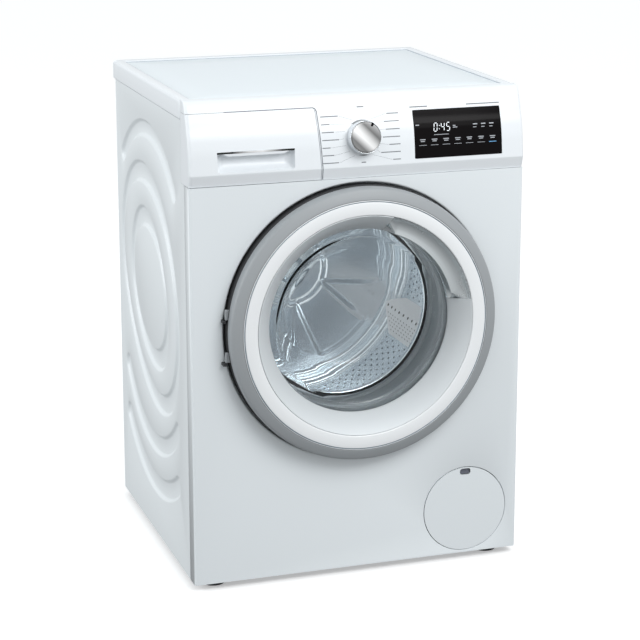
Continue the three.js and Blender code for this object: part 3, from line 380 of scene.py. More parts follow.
# %% [markdown]
# The bowl is clear glass. Its wall is thin, so what lies behind is hardly bent. An index near one
# gives that, and a clear coat brings the reflections back. A very slight wave keeps them soft.
# %% Glass
clear_glass = finish("door_glass", (0.93, 0.96, 0.965), 0.01, grain=(14, 0.05), amount=0.0, spread=0.0)
skin = clear_glass.node_tree.nodes["Principled BSDF"]
for label, value in (("Transmission Weight", 1.0), ("IOR", 1.06), ("Coat Weight", 0.3),
                     ("Coat Roughness", 0.01)):
    skin.inputs[label].default_value = value
print("finishes", len(bpy.data.materials))


# %% [markdown]
# Small helpers for shapes. An outline's corners are rounded with short curves. A piece is a mesh
# whose doubles are merged and whose faces look outwards, that rides on its body of the frame and
# stands for the plain solids of the frame.
# %% Shape helpers
def rounded(points, radius=2.0, steps=4, closed=True):
    """Rounds an outline's corners. A point may carry its own radius as a third number."""
    done = []
    count = len(points)
    for i, point in enumerate(points):
        here = Vector(point[:2])
        size = point[2] if len(point) > 2 else radius
        if size == 0 or (not closed and i in (0, count - 1)):
            done.append(here)
            continue
        before = Vector(points[i - 1][:2]) - here
        after = Vector(points[(i + 1) % count][:2]) - here
        first = here + before.normalized() * min(size, before.length * 0.48)
        last = here + after.normalized() * min(size, after.length * 0.48)
        for k in range(steps + 1):
            t = k / steps
            done.append(first * (1 - t) ** 2 + here * 2 * t * (1 - t) + last * t * t)
    return done


def round_box(a0, a1, b0, b1, radius, steps=6):
    return rounded([(a0, b0), (a1, b0), (a1, b1), (a0, b1)], radius, steps)


def circle(x, z, r, count=120):
    angles = [2 * math.pi * k / count for k in range(count)]
    return [Vector((x + r * math.sin(a), z + r * math.cos(a))) for a in angles]


def piece(name, verts, faces, material, body, nodes=(), smooth=32, outward=None, slot=None):
    mesh = bpy.data.meshes.new(name)
    mesh.from_pydata([tuple(v) for v in verts], [], faces)
    work = bmesh.new()
    work.from_mesh(mesh)
    bmesh.ops.remove_doubles(work, verts=work.verts, dist=2e-6)
    bmesh.ops.dissolve_degenerate(work, edges=work.edges, dist=1e-7)
    bmesh.ops.recalc_face_normals(work, faces=work.faces)
    if outward is not None:
        lean = sum((f.normal.dot(outward) * f.calc_area() for f in work.faces), 0.0)
        if lean < 0:
            bmesh.ops.reverse_faces(work, faces=work.faces)
    work.to_mesh(mesh)
    work.free()
    mesh.polygons.foreach_set("use_smooth", [True] * len(mesh.polygons))
    mesh.set_sharp_from_angle(angle=math.radians(smooth))
    item = bpy.data.objects.new(name, mesh)
    bpy.context.scene.collection.objects.link(item)
    mesh.materials.append(material)
    if body:
        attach(item, body)
    if nodes:
        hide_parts(*nodes)
    return item


def thicken(item, thickness, even=True):
    """Gives a drawn sheet its wall, behind the drawn face."""
    wall = item.modifiers.new("wall", "SOLIDIFY")
    wall.thickness = thickness * MM
    wall.offset = -1
    wall.use_even_offset = even


def soften(item, width, segments=2, angle=40):
    """Rounds every edge that is sharper than an angle."""
    edge = item.modifiers.new("edge", "BEVEL")
    edge.width = width * MM
    edge.segments = segments
    edge.limit_method = "ANGLE"
    edge.angle_limit = math.radians(angle)
    edge.use_clamp_overlap = True
    edge.harden_normals = True


# %% [markdown]
# Most of the door is turned work, so one helper turns a profile about the door's axis, or about
# any other line. A second helper turns one about an upright line, and a third joins loops.
# %% Turning and lofting
def turn(profile, x=0.0, z=DOOR_Z, steps=160, closed=True, span=(0.0, 360.0), place=at):
    """Turns a profile of [radius, depth] about a line that runs from front to back."""
    full = span == (0.0, 360.0)
    count = steps if full else steps + 1
    verts = []
    for k in range(count):
        a = math.radians(span[0] + (span[1] - span[0]) * k / steps)
        verts += [place(x + r * math.sin(a), y, z + r * math.cos(a)) for r, y in profile]
    n = len(profile)
    faces = []
    for k in range(steps):
        m = (k + 1) % count
        for i in range(n if closed else n - 1):
            j = (i + 1) % n
            faces.append((k * n + i, k * n + j, m * n + j, m * n + i))
    if not full and closed:
        faces.append(tuple(range(n)))
        faces.append(tuple((count - 1) * n + i for i in reversed(range(n))))
    return verts, faces


def turn_up(profile, x, y, steps=40):
    """Turns a profile of [radius, height] about an upright line."""
    return turn(profile, 0, 0, steps, False,
                place=lambda across, height, back: at(x + across, y + back, height))


def loft(loops, cap_start=False, cap_end=False):
    """Joins closed loops of equally many points."""
    n = len(loops[0])
    verts = [v for loop in loops for v in loop]
    faces = []
    for k in range(len(loops) - 1):
        for i in range(n):
            j = (i + 1) % n
            faces.append((k * n + i, k * n + j, (k + 1) * n + j, (k + 1) * n + i))
    if cap_start:
        faces.append(tuple(range(n)))
    if cap_end:
        faces.append(tuple((len(loops) - 1) * n + i for i in reversed(range(n))))
    return verts, faces


def merge(*shapes):
    verts, faces = [], []
    for v, f in shapes:
        base = len(verts)
        verts += list(v)
        faces += [tuple(base + i for i in face) for face in f]
    return verts, faces


def block(x0, x1, y0, y1, z0, z1):
    corners = [at(x, y, z) for x in (x0, x1) for y in (y0, y1) for z in (z0, z1)]
    faces = [(0, 1, 3, 2), (4, 6, 7, 5), (0, 4, 5, 1), (2, 3, 7, 6), (0, 2, 6, 4), (1, 5, 7, 3)]
    return corners, faces


# %% [markdown]
# Sheets with openings are drawn flat first. The outlines are filled with triangles between them,
# and a rule then bends the flat drawing into its place. Guide lines keep the triangles short
# where the sheet bends.
# %% Filling outlines
def inside(p, loops):
    odd = False
    for loop in loops:
        for i in range(len(loop)):
            a, b = loop[i - 1], loop[i]
            if (a[1] > p[1]) != (b[1] > p[1]):
                if p[0] < (b[0] - a[0]) * (p[1] - a[1]) / (b[1] - a[1]) + a[0]:
                    odd = not odd
    return odd


def fill(loops, place, guides=()):
    points, edges = [], []
    for loop in loops:
        base, n = len(points), len(loop)
        points += [Vector(p) for p in loop]
        edges += [(base + i, base + (i + 1) % n) for i in range(n)]
    for a, b in guides:
        base = len(points)
        points += [Vector(a), Vector(b)]
        edges.append((base, base + 1))
    flat, _, tris, _, _, _ = delaunay_2d_cdt(points, edges, [], 0, 1e-5)
    kept = [t for t in tris if inside(sum((flat[i] for i in t), Vector((0, 0))) / 3, loops)]
    used = sorted({i for t in kept for i in t})
    order = {v: k for k, v in enumerate(used)}
    return [place(flat[i].x, flat[i].y) for i in used], [tuple(order[i] for i in t) for t in kept]


print("helpers ready")

# %% [markdown]
# The worktop is a white frame around a board. The frame is drawn as rings of rounded squares: up
# the outside, over the rim, down inside to the board. The front of the rim is thin and hides
# behind the control panel.
# %% Worktop rim
HALF = CAD_BOX[1].x / MM
RIM_FRONT, BOARD_FRONT, BOARD_BACK, BOARD_HALF, BOARD_DROP = 50.4, 54, 527, 280, 2.2


def square_loop(x, y0, y1, radius, z, steps=6):
    return [at(p.x, p.y, z) for p in round_box(-x, x, y0, y1, radius, steps)]


rim_loops = [
    square_loop(PANEL_X - 4, RIM_FRONT + 3, BODY_BACK - 4, 5, TOP_UNDER + 0.4),
    square_loop(HALF - 0.8, RIM_FRONT + 0.6, BODY_BACK - 0.8, 8, TOP_UNDER + 0.4),
    square_loop(HALF, RIM_FRONT, BODY_BACK, 9, TOP_UNDER + 1.6),
    square_loop(HALF, RIM_FRONT, BODY_BACK, 9, TOP - 5.2),
    square_loop(HALF - 0.5, RIM_FRONT, BODY_BACK - 0.5, 9, TOP - 3.0),
    square_loop(HALF - 1.9, RIM_FRONT + 0.4, BODY_BACK - 1.9, 8.5, TOP - 1.0),
    square_loop(HALF - 4.2, RIM_FRONT + 1.0, BODY_BACK - 4.2, 7.5, TOP),
    square_loop(BOARD_HALF + 1.6, BOARD_FRONT - 1.6, BOARD_BACK + 1.6, 6, TOP),
    square_loop(BOARD_HALF + 0.5, BOARD_FRONT - 0.5, BOARD_BACK + 0.5, 5, TOP - 0.5),
    square_loop(BOARD_HALF, BOARD_FRONT, BOARD_BACK, 4.5, TOP - 1.4),
    square_loop(BOARD_HALF, BOARD_FRONT, BOARD_BACK, 4.5, TOP - 14),
    square_loop(BOARD_HALF - 8, BOARD_FRONT + 8, BOARD_BACK - 8, 4, TOP_UNDER + 0.4),
]
rim_loops.append(rim_loops[0])
piece("worktop_rim", *loft(rim_loops), white_plastic, "cabinet", ["worktop_frame"], 28, slot="white_plastic")
print("rim loops", len(rim_loops))

# %% [markdown]
# The board is a laminated slab that lies a little below the rim. Its top edge is rounded over, by
# loops that draw in as they rise.
# %% Worktop board
board_loops = []
for inset, drop in ((0.5, 16), (0.5, 3.4), (1.0, 2.6), (2.0, BOARD_DROP), (60, BOARD_DROP)):
    board_loops.append(square_loop(BOARD_HALF - inset, BOARD_FRONT + inset, BOARD_BACK - inset,
                                   max(4.4 - inset / 3, 0.5), TOP - drop))
board = loft(board_loops, True, True)
piece("board_top", *board, board_laminate, "cabinet", ["worktop_board"], 30, slot="white_paint")
print("rim and board", round(HALF), round(BODY_BACK))

# %% [markdown]
# A fine grey line shows where the board meets the rim. It is four thin strips laid in the joint.
# %% Board seam
SEAM_X, SEAM_WIDE, SEAM_FRONT, SEAM_BACK = 279.4, 1.4, 55.0, 525.4
SEAM_STRIPS = (
    (-SEAM_X, SEAM_X, SEAM_FRONT, SEAM_FRONT + SEAM_WIDE),
    (-SEAM_X, SEAM_X, SEAM_BACK - SEAM_WIDE, SEAM_BACK),
    (-SEAM_X, -SEAM_X + SEAM_WIDE, SEAM_FRONT + SEAM_WIDE, SEAM_BACK - SEAM_WIDE),
    (SEAM_X - SEAM_WIDE, SEAM_X, SEAM_FRONT + SEAM_WIDE, SEAM_BACK - SEAM_WIDE))
strips = [block(x0, x1, y0, y1, TOP - 2.6, TOP - 1.9) for x0, x1, y0, y1 in SEAM_STRIPS]
piece("board_seam", *merge(*strips), seam_pale, "cabinet", [], 30)
print("seam strips", len(strips))

# %% [markdown]
# The side sheets are pressed steel. Pressed bands stiffen them: two loops inside each other and
# three arcs. Each band's wall is drawn as lines one inside the next, and a smooth step says how
# deep each line lies. A loop is a rounded closed curve through its four far points. An arc is a
# circle's part with round ends.
# %% Pressed bands
BAND_DEPTH = 5.2
BAND_WALL = 8.0
LOOPS = [
    ([(85, 489), (333, 697), (500, 478), (224, 253)], [(114, 482), (326, 655), (477, 484), (240, 293)]),
    ([(160, 469), (322, 617), (427, 466), (251, 328)], [(183, 479), (313, 577), (401, 472), (265, 368)]),
]
ARCS = [
    [(106, 678), (340, 755), (479, 684), 17],
    [(108, 256), (206, 197), (472, 281), 20],
    [(109, 156), (175, 124), (472, 184), 21],
]


def loop_curve(corners, count=72):
    """A closed curve with given left, top, right and bottom points."""
    left, top, right, bottom = corners
    cy, cz = (left[0] + right[0]) / 2, (top[1] + bottom[1]) / 2
    half_y, half_z = (right[0] - left[0]) / 2, (top[1] - bottom[1]) / 2
    lean_y = (top[0] - bottom[0]) / 2
    lean_z = (left[1] - right[1]) / 2
    drift_y = (top[0] + bottom[0]) / 2 - cy
    drift_z = (left[1] + right[1]) / 2 - cz
    curve = []
    for k in range(count):
        t = 2 * math.pi * k / count
        c, s = math.cos(t), math.sin(t)
        y = cy - half_y * c + lean_y * s + drift_y * s * s
        z = cz + half_z * s + lean_z * c + drift_z * c * c
        curve.append(Vector((y, z)))
    return curve


def shift_curve(curve, amount):
    """Moves a closed curve outwards by an amount."""
    n = len(curve)
    centre = sum(curve, Vector((0, 0))) / n
    moved = []
    for i, p in enumerate(curve):
        along = (curve[(i + 1) % n] - curve[i - 1]).normalized()
        normal = Vector((along.y, -along.x))
        if normal.dot(p - centre) < 0:
            normal = -normal
        moved.append(p + normal * amount)
    return moved


def circle_through(a, b, c):
    ax, ay, bx, by, cx, cy = *a, *b, *c
    d = 2 * (ax * (by - cy) + bx * (cy - ay) + cx * (ay - by))
    a2, b2, c2 = ax * ax + ay * ay, bx * bx + by * by, cx * cx + cy * cy
    x = (a2 * (by - cy) + b2 * (cy - ay) + c2 * (ay - by)) / d
    y = (a2 * (cx - bx) + b2 * (ax - cx) + c2 * (bx - ax)) / d
    return Vector((x, y)), math.hypot(ax - x, ay - y)


def arc_band(first, middle, last, half_width, grow, count=26, cap=8):
    """The outline of a band along an arc, with round ends."""
    centre, r = circle_through(first, middle, last)
    a0 = math.atan2(first[1] - centre.y, first[0] - centre.x)
    a1 = math.atan2(last[1] - centre.y, last[0] - centre.x)
    am = math.atan2(middle[1] - centre.y, middle[0] - centre.x)
    turn_way = 1 if (am - a0) % (2 * math.pi) < (a1 - a0) % (2 * math.pi) else -1
    sweep_angle = ((a1 - a0) * turn_way) % (2 * math.pi) * turn_way
    w = half_width + grow
    outline = []
    for k in range(count + 1):
        a = a0 + sweep_angle * k / count
        outline.append(centre + Vector((math.cos(a), math.sin(a))) * (r + w))
    for k in range(1, cap):
        a = a0 + sweep_angle
        t = math.pi * k / cap
        end = centre + Vector((math.cos(a), math.sin(a))) * r
        out_way = Vector((math.cos(a), math.sin(a)))
        along = Vector((-math.sin(a), math.cos(a))) * turn_way
        outline.append(end + (out_way * math.cos(t) + along * math.sin(t)) * w)
    for k in range(count, -1, -1):
        a = a0 + sweep_angle * k / count
        outline.append(centre + Vector((math.cos(a), math.sin(a))) * (r - w))
    for k in range(1, cap):
        t = math.pi * k / cap
        start = centre + Vector((math.cos(a0), math.sin(a0))) * r
        out_way = Vector((math.cos(a0), math.sin(a0)))
        along = Vector((-math.sin(a0), math.cos(a0))) * turn_way
        outline.append(start - (out_way * math.cos(t) + along * math.sin(t)) * w)
    return outline


STEPS = [k / 5 for k in range(6)]


def smooth_step(t):
    return t * t * (3 - 2 * t)


print("bands", len(LOOPS) + len(ARCS))


# %% [markdown]
# Each side sheet is filled from its border and every ring of its bands, and each point sinks by
# its ring's depth. A fold runs round the border, and the sheet gets its thickness last.
# %% Side sheet
SHEET_LOW, SHEET_WALL, SIDE_FOLD = 12.5, 0.9, 8
SIDE_FRONT, SIDE_BACK, SIDE_TOP = 31.6, 529.5, TOP_UNDER - 0.2
SIDE_STEP = 50.4


def wall_rings(outer_at, inner_at=None):
    """Every ring of a band's wall, as (curve, depth). Depth 0 is the sheet, 1 the floor."""
    rings = [(outer_at(-BAND_WALL * t), smooth_step(t)) for t in STEPS]
    if inner_at:
        rings += [(inner_at(BAND_WALL * t), smooth_step(t)) for t in STEPS]
    return rings


def side_rings():
    rings = []
    for outer, inner in LOOPS:
        big, small = loop_curve(outer), loop_curve(inner)
        rings += wall_rings(lambda s, c=big: shift_curve(c, s),
                            lambda s, c=small: shift_curve(c, s))
    for first, middle, last, width in ARCS:
        rings += wall_rings(lambda s, f=first, m=middle, e=last, w=width: arc_band(f, m, e, w, s))
    return rings


def side_border():
    """The sheet steps back above the seam, to make room for the control panel."""
    return rounded([(SIDE_FRONT, SHEET_LOW), (SIDE_BACK, SHEET_LOW), (SIDE_BACK, SIDE_TOP),
                    (SIDE_STEP, SIDE_TOP), (SIDE_STEP, SEAM + 0.4), (SIDE_FRONT, SEAM + 0.4)], 1.0, 3)


def side_sheet(side):
    border = side_border()
    points, edges, depth = [], [], {}

    def add(loop, value):
        base, n = len(points), len(loop)
        points.extend(Vector(p) for p in loop)
        edges.extend((base + i, base + (i + 1) % n) for i in range(n))
        for i in range(n):
            depth[base + i] = value

    add(border, 0.0)
    for curve, value in side_rings():
        add(curve, value)
    flat, _, tris, origins, _, _ = delaunay_2d_cdt(points, edges, [], 0, 1e-5)
    verts = []
    for p, source in zip(flat, origins):
        sunk = BAND_DEPTH * (depth[source[0]] if source else 0.0)
        verts.append(at(side * (PANEL_X - sunk), p.x, p.y))
    kept = [t for t in tris if inside(sum((flat[i] for i in t), Vector((0, 0))) / 3, [border])]
    return verts, [tuple(t) for t in kept]


for side, label in ((-1, "left"), (1, "right")):
    verts, faces = side_sheet(side)
    rim = len(side_border())
    fold = []
    for i in range(rim):
        j = (i + 1) % rim
        fold.append((i, j, len(verts) + j, len(verts) + i))
    verts = verts + [v + Vector((-side * SIDE_FOLD * MM, 0, 0)) for v in verts[:rim]]
    item = piece("side_sheet_" + label, verts, faces + fold, side_enamel, "cabinet",
                 ["side_panel_" + label], 22, Vector((side, 0, 0)), "white_paint")
    thicken(item, SHEET_WALL)
    print(item.name, len(item.data.polygons))

# %% [markdown]
# The front sheet is one pressing. Its upright edges turn back round a small radius and run along
# the sides for a hand's width. A round recess with a rolled lip takes the door, and a round hole
# takes the filter flap. The drawing is flat: across, then round the corner. It is bent afterwards.
# %% Front sheet
FOLD = 4.0
RECESS_R, RECESS_DEEP, LIP = 242.5, 22.0, 3.6
COLLAR_R, COLLAR_LONG, FLANGE = 178.5, 14, 7.0
FLAP_X, FLAP_Z, FLAP_R = 199.5, 95.0, 77.5
RETURN_DEEP = 31.0
ARC = FOLD * math.pi / 2


def bend(u, z, y0=0.0):
    """Bends the flat front sheet: u runs across the front and round each corner."""
    side = 1 if u > 0 else -1
    flat_half = PANEL_X - FOLD
    over = abs(u) - flat_half
    if over <= 0:
        return at(u, y0, z)
    if over <= ARC:
        t = over / FOLD
        return at(side * (flat_half + FOLD * math.sin(t)), y0 + FOLD * (1 - math.cos(t)), z)
    return at(side * PANEL_X, y0 + FOLD + over - ARC, z)


FOLD_LINES = [side * (PANEL_X - FOLD + ARC * k / 8) for side in (-1, 1) for k in range(9)]
half_flat = PANEL_X - FOLD + ARC + RETURN_DEEP - FOLD
sheet_border = [Vector(p) for p in ((-half_flat, SHEET_LOW), (half_flat, SHEET_LOW),
                                    (half_flat, SEAM), (-half_flat, SEAM))]
door_hole = circle(0, DOOR_Z, RECESS_R + LIP, 144)
flap_hole = circle(FLAP_X, FLAP_Z, FLAP_R + 1.6, 96)
shapes = [fill([sheet_border, door_hole, flap_hole], bend, [((u, SHEET_LOW), (u, SEAM)) for u in FOLD_LINES])]
lip = [(RECESS_R + LIP - LIP * math.sin(t), LIP * (1 - math.cos(t)))
       for t in [math.pi / 2 * k / 6 for k in range(7)]]
well = rounded([*[(r, y, 0) for r, y in lip], (RECESS_R, RECESS_DEEP, 4), (COLLAR_R, RECESS_DEEP, 3),
                (COLLAR_R, RECESS_DEEP + COLLAR_LONG)], 3, 4, closed=False)
shapes.append(turn([(p.x, p.y) for p in well], steps=144, closed=False))
flap_lip = [(FLAP_R + 1.6, 0), (FLAP_R + 0.9, 0.3), (FLAP_R + 0.6, 1.0), (FLAP_R + 0.6, 6.5)]
shapes.append(turn(flap_lip, FLAP_X, FLAP_Z, 96, False))
us = sorted({-half_flat, *FOLD_LINES, half_flat})
for z in (SHEET_LOW, SEAM):
    flange = [bend(u, z) for u in us] + [bend(u, z, FLANGE) for u in us[1:-1]]
    n = len(us)
    shapes.append((flange, [(i, i + 1, n + i, n + i - 1) for i in range(1, n - 2)]))
front = piece("front_sheet", *merge(*shapes), enamel, "cabinet", ["front_panel"], 30, Vector((0, -1, 0)),
              "white_paint")
thicken(front, SHEET_WALL)
print("front sheet", len(front.data.polygons))

# %% [markdown]
# Behind the front's side return a thin edge of the side sheet shows, and the upright join is a
# fine dark line. Both sides have one.
# %% Side joins
for side, label in ((-1, "left"), (1, "right")):
    line = block(side * (PANEL_X - 1.6), side * (PANEL_X - 0.9), RETURN_DEEP - 1, 33.2, 13, SEAM - 1)
    piece("side_join_" + label, *line, hole_dark, "cabinet", [], 30)
print("side joins", 2)

# %% [markdown]
# The control panel is one moulding that leans back towards the lid. Its outline from the side is
# walked by length, so that a flat drawing of panel, drawer front, window and print can be laid on
# it and wrapped round both ends. The height of a feature finds its place on that walk.
# %% Panel outline
PANEL_LOW = 708.4
PANEL_LINE = [(2, PANEL_LOW, 0), (-4, 728, 1.2), (-3, 737, 5), (0, 765, 8), (5, 790, 8), (10, 803, 6),
              (14, 816, 8), (21, 835, 6), (28, 846.6, 5), (38, 848, 3), (49.6, 848, 0)]
line = rounded(PANEL_LINE, 4, 5, closed=False)
walk = [0.0]
for before, after in zip(line, line[1:]):
    walk.append(walk[-1] + (after - before).length)
WALK_END = walk[-1]
PANEL_FOLD = 6.0
PANEL_ARC = PANEL_FOLD * math.pi / 2
PANEL_HALF = PANEL_X - PANEL_FOLD
PANEL_RETURN = 42.0
PANEL_BACK = 49.8


def on_line(s):
    """The outline's point and outward normal at a walked length."""
    i = min(max(bisect.bisect_right(walk, s) - 1, 0), len(line) - 2)
    t = (s - walk[i]) / (walk[i + 1] - walk[i])
    spot = line[i].lerp(line[i + 1], t)
    along = (line[i + 1] - line[i]).normalized()
    return spot, Vector((-along.y, along.x))


def walk_at(z):
    """The walked length at which the outline reaches a height."""
    for i in range(len(line) - 1):
        if line[i].y <= z <= line[i + 1].y and line[i + 1].y > line[i].y:
            return walk[i] + (z - line[i].y) / (line[i + 1].y - line[i].y) * (walk[i + 1] - walk[i])
    return WALK_END


def panel_place(u, s, lift=0.0):
    spot, normal = on_line(s)
    y, z = spot.x + normal.x * lift, spot.y + normal.y * lift
    side = 1 if u > 0 else -1
    over = abs(u) - PANEL_HALF
    if over <= 0:
        return at(u, y, z)
    if over <= PANEL_ARC:
        t = over / PANEL_FOLD
        room = min(PANEL_FOLD, PANEL_BACK - y)
        return at(side * (PANEL_HALF + PANEL_FOLD * math.sin(t)), y + room * (1 - math.cos(t)), z)
    t = (over - PANEL_ARC) / PANEL_RETURN
    start = min(y + PANEL_FOLD, PANEL_BACK)
    return at(side * PANEL_X, start + (PANEL_BACK - start) * t, z)


def panel_guides(u0, u1, s0, s1):
    guides = [((u0, s), (u1, s)) for s in walk[1:-1] if s0 < s < s1]
    for side in (-1, 1):
        for k in range(9):
            u = side * (PANEL_HALF + PANEL_ARC * k / 8)
            if u0 < u < u1:
                guides.append(((u, s0), (u, s1)))
    return guides


def in_walk(points):
    """Turns an (x, height) outline into (x, walked length)."""
    return [Vector((p[0], walk_at(p[1]))) for p in points]


print("panel outline", round(WALK_END, 1))


# %% [markdown]
# The moulding itself is filled from its flat outline, less the drawer's corner, the window and the
# knob's hole, then wrapped round the outline. Its wall and its softened edges are modifiers.
# %% Control panel
EDGE = PANEL_HALF + PANEL_ARC + PANEL_RETURN
SKIN_WALL, SKIN_EDGE, SPLIT_GAP = 2.6, 0.45, 0.6
SPLIT_LOW, SPLIT_TOP, DRAWER_TOP = -68.8, -75.6, 828.0
KNOB_X, KNOB_Y, KNOB_Z, LEAN = 5.0, 2.2, 776.0, math.radians(11.3)
DISPLAY = (97.0, 257.0, 735.0, 816.0)
split = rounded([(-EDGE, DRAWER_TOP + SPLIT_GAP, 0), (SPLIT_TOP + SPLIT_GAP, DRAWER_TOP + SPLIT_GAP, 6),
                 (SPLIT_LOW + SPLIT_GAP, PANEL_LOW, 0)], 6, 7, closed=False)
panel_border = [Vector((-EDGE, WALK_END)), *in_walk(split), Vector((EDGE, 0)), Vector((EDGE, WALK_END))]
window_hole = in_walk(round_box(*DISPLAY, 2.2, 4))
skirt_hole = in_walk(circle(KNOB_X, KNOB_Z, 27.0, 64))
verts, faces = fill([panel_border, window_hole, skirt_hole], panel_place,
                    panel_guides(-EDGE, EDGE, 0, WALK_END))
panel = piece("control_panel", verts, faces, white_plastic, "cabinet", ["fascia"], 30, Vector((0, -1, 0)),
              "white_plastic")
thicken(panel, SKIN_WALL, even=False)
soften(panel, SKIN_EDGE, 2, 50)
print("control panel", len(panel.data.polygons))

# %% [markdown]
# The drawer front wraps round the left end. A pocket for the fingers is set into it: a shallow cup with a
# plated strip under its top edge, whose reflection is painted on, dark at both ends and bright in the middle.
# %% Drawer front
HOLE = (-249.0, -116.0, 731.0, 765.0)
drawer_line = rounded([(-EDGE, PANEL_LOW + 0.3, 0), (SPLIT_LOW - 0.2, PANEL_LOW + 0.3, 1.5),
                       (SPLIT_TOP - 0.2, DRAWER_TOP, 5.4), (-EDGE, DRAWER_TOP, 0)], 6, 7)
hole_line = rounded([(HOLE[0], HOLE[2], 5), (HOLE[1], HOLE[2], 5), (HOLE[1], HOLE[3], 0.8),
                     (HOLE[0], HOLE[3], 0.8)], 5, 5)
verts, faces = fill([in_walk(drawer_line), in_walk(hole_line)], panel_place,
                    panel_guides(-EDGE, SPLIT_LOW, 0.3, walk_at(DRAWER_TOP)))
front_skin = piece("drawer_skin", verts, faces, white_plastic, "drawer", ["drawer_front"], 30,
                   Vector((0, -1, 0)), "white_plastic")
thicken(front_skin, SKIN_WALL, even=False)
soften(front_skin, SKIN_EDGE, 2, 50)
print("drawer front", len(front_skin.data.polygons))


# %% [markdown]
# The pocket is a stack of loops that shrink as they go back. A plated strip with a painted reflection hangs
# over its top edge, and under the strip runs the white ledge that the fingers pull.
# %% Finger pocket
def pocket_ring(inset, top_y, low_y):
    """A loop of the pocket's outline. It lies at one depth along the top and another along the bottom."""
    x0, x1, z0, z1 = HOLE
    points = rounded([(x0 + inset, z0 + inset * 0.8, 5), (x1 - inset, z0 + inset * 0.8, 5),
                      (x1 - inset, z1 + 1, 0.8), (x0 + inset, z1 + 1, 0.8)], 5, 5)
    ring = []
    for p in points:
        t = min(max((z1 - p.y) / (z1 - z0), 0), 1)
        ring.append(at(p.x, top_y + (low_y - top_y) * t, p.y))
    return ring


pocket_rings = [pocket_ring(-0.3, -0.4, -3.3), pocket_ring(0.0, 0.6, -2.6), pocket_ring(1.2, 5, 1.2),
                pocket_ring(3.5, 11, 6), pocket_ring(7, 15, 10.5), pocket_ring(12, 17, 14)]
piece("finger_pocket", *loft(pocket_rings, cap_end=True), white_plastic, "drawer", [], 50,
      slot="white_plastic")
# The strip's glint is painted light, not lit: black at both ends, bright in the middle.
strip = piece("pocket_strip", *block(HOLE[0] - 0.3, HOLE[1] + 0.3, -0.9, 6, 762.2, 765.2), strip_painted_glint,
              "drawer", [], 30)
soften(strip, 0.5, 3)
pull_loops = []
for y, inset, top in ((-0.7, 9, 0), (-0.9, 9.5, -0.2), (0.5, 10, 0), (9, 6, 2)):
    x0, x1 = HOLE[0] + inset, HOLE[1] - inset
    pull_loops.append([at(x0, y, 762.4), at(x0 + 9, y, 758.4 + top), at(x1 - 9, y, 758.4 + top),
                       at(x1, y, 762.4)])
pull = piece("pocket_pull", *loft(pull_loops, True, True), white_plastic, "drawer", [], 30)
soften(pull, 0.5, 3)
print("pocket loops", len(pocket_rings))


# %% [markdown]
# The window is dark glass set flush in the panel. Its signs are simple shapes: a seven-segment
# clock, and short strokes where a real panel prints words.
# %% Display window
x0, x1, z0, z1 = DISPLAY
window_line = round_box(x0 + 0.4, x1 - 0.4, z0 + 0.4, z1 - 0.4, 1.9, 4)
verts, faces = fill([in_walk(window_line)], panel_place, panel_guides(x0, x1, walk_at(z0), walk_at(z1)))
window = piece("display_glass", verts, faces, black_gloss, "cabinet", ["display_window"], 30,
               Vector((0, -1, 0)), "black_glass")
thicken(window, 1.6, even=False)
soften(window, 0.3, 2, 50)


def stroke(x0, z0, x1, z1, width, lift=0.12):
    """A flat bar printed on the panel from one point to another."""
    a, b = Vector((x0, z0)), Vector((x1, z1))
    along = (b - a).normalized()
    across = Vector((-along.y, along.x)) * width / 2
    corners = [a - across, b - across, b + across, a + across]
    top = [panel_place(p.x, walk_at(p.y), lift) for p in corners]
    low = [panel_place(p.x, walk_at(p.y), 0.0) for p in corners]
    faces = [(0, 1, 2, 3), (7, 6, 5, 4)] + [(i, (i + 1) % 4, 4 + (i + 1) % 4, 4 + i) for i in range(4)]
    return top + low, faces


SEGMENTS = {"0": "abcdef", "4": "bcfg", "5": "acdfg"}
DIGIT_LEAN = 0.10


def digit(sign, x, z, w, h, thick):
    """One seven-segment digit, leaning a little."""
    corners = {"tl": (0, 1), "tr": (1, 1), "ml": (0, 0.5), "mr": (1, 0.5), "bl": (0, 0), "br": (1, 0)}
    bars = {"a": ("tl", "tr"), "b": ("tr", "mr"), "c": ("mr", "br"), "d": ("bl", "br"),
            "e": ("ml", "bl"), "f": ("tl", "ml"), "g": ("ml", "mr")}
    parts = []
    for name in SEGMENTS[sign]:
        a, b = (Vector(corners[k]) for k in bars[name])
        p = Vector((x + a.x * w + a.y * h * DIGIT_LEAN, z + a.y * h))
        q = Vector((x + b.x * w + b.y * h * DIGIT_LEAN, z + b.y * h))
        gap = (q - p).normalized() * thick * 0.65
        parts.append(stroke(*(p + gap), *(q - gap), thick))
    return parts


CLOCK_X, CLOCK_Z, CLOCK_SIZES = 133.0, 779.5, (5.6, 13.5, 1.3)
bright = []
for sign, shift in (("0", 0), ("4", 13), ("5", 23)):
    bright += digit(sign, CLOCK_X + shift, CLOCK_Z, *CLOCK_SIZES)
for rise in (3.6, 9.2):
    dot_x, dot_z = CLOCK_X + 9.0 + rise * DIGIT_LEAN, CLOCK_Z + rise
    bright.append(stroke(dot_x, dot_z, dot_x + 1.4, dot_z, CLOCK_SIZES[2]))
piece("clock_digits", *merge(*bright), screen_white, "cabinet", [], 30)
TOUCH_X = [DISPLAY[0] + 15 + k * 21.3 for k in range(7)]
TOUCH_BARS = ((5, 766.5, 1.5), (3.8, 763.6, 1.5), (6.8, 757.0, 0.7))
dim = []
for k, x in enumerate(TOUCH_X):
    for half, z, width in TOUCH_BARS[:3 if k < 6 else 2]:
        dim.append(stroke(x - half, z, x + half, z, width))
SCREEN_BARS = [(168, 176, 784.6, 1.4), (168, 173, 787.4, 1.4), (133, 160, 773.8, 0.9), (100.5, 107, 791, 1.6)]
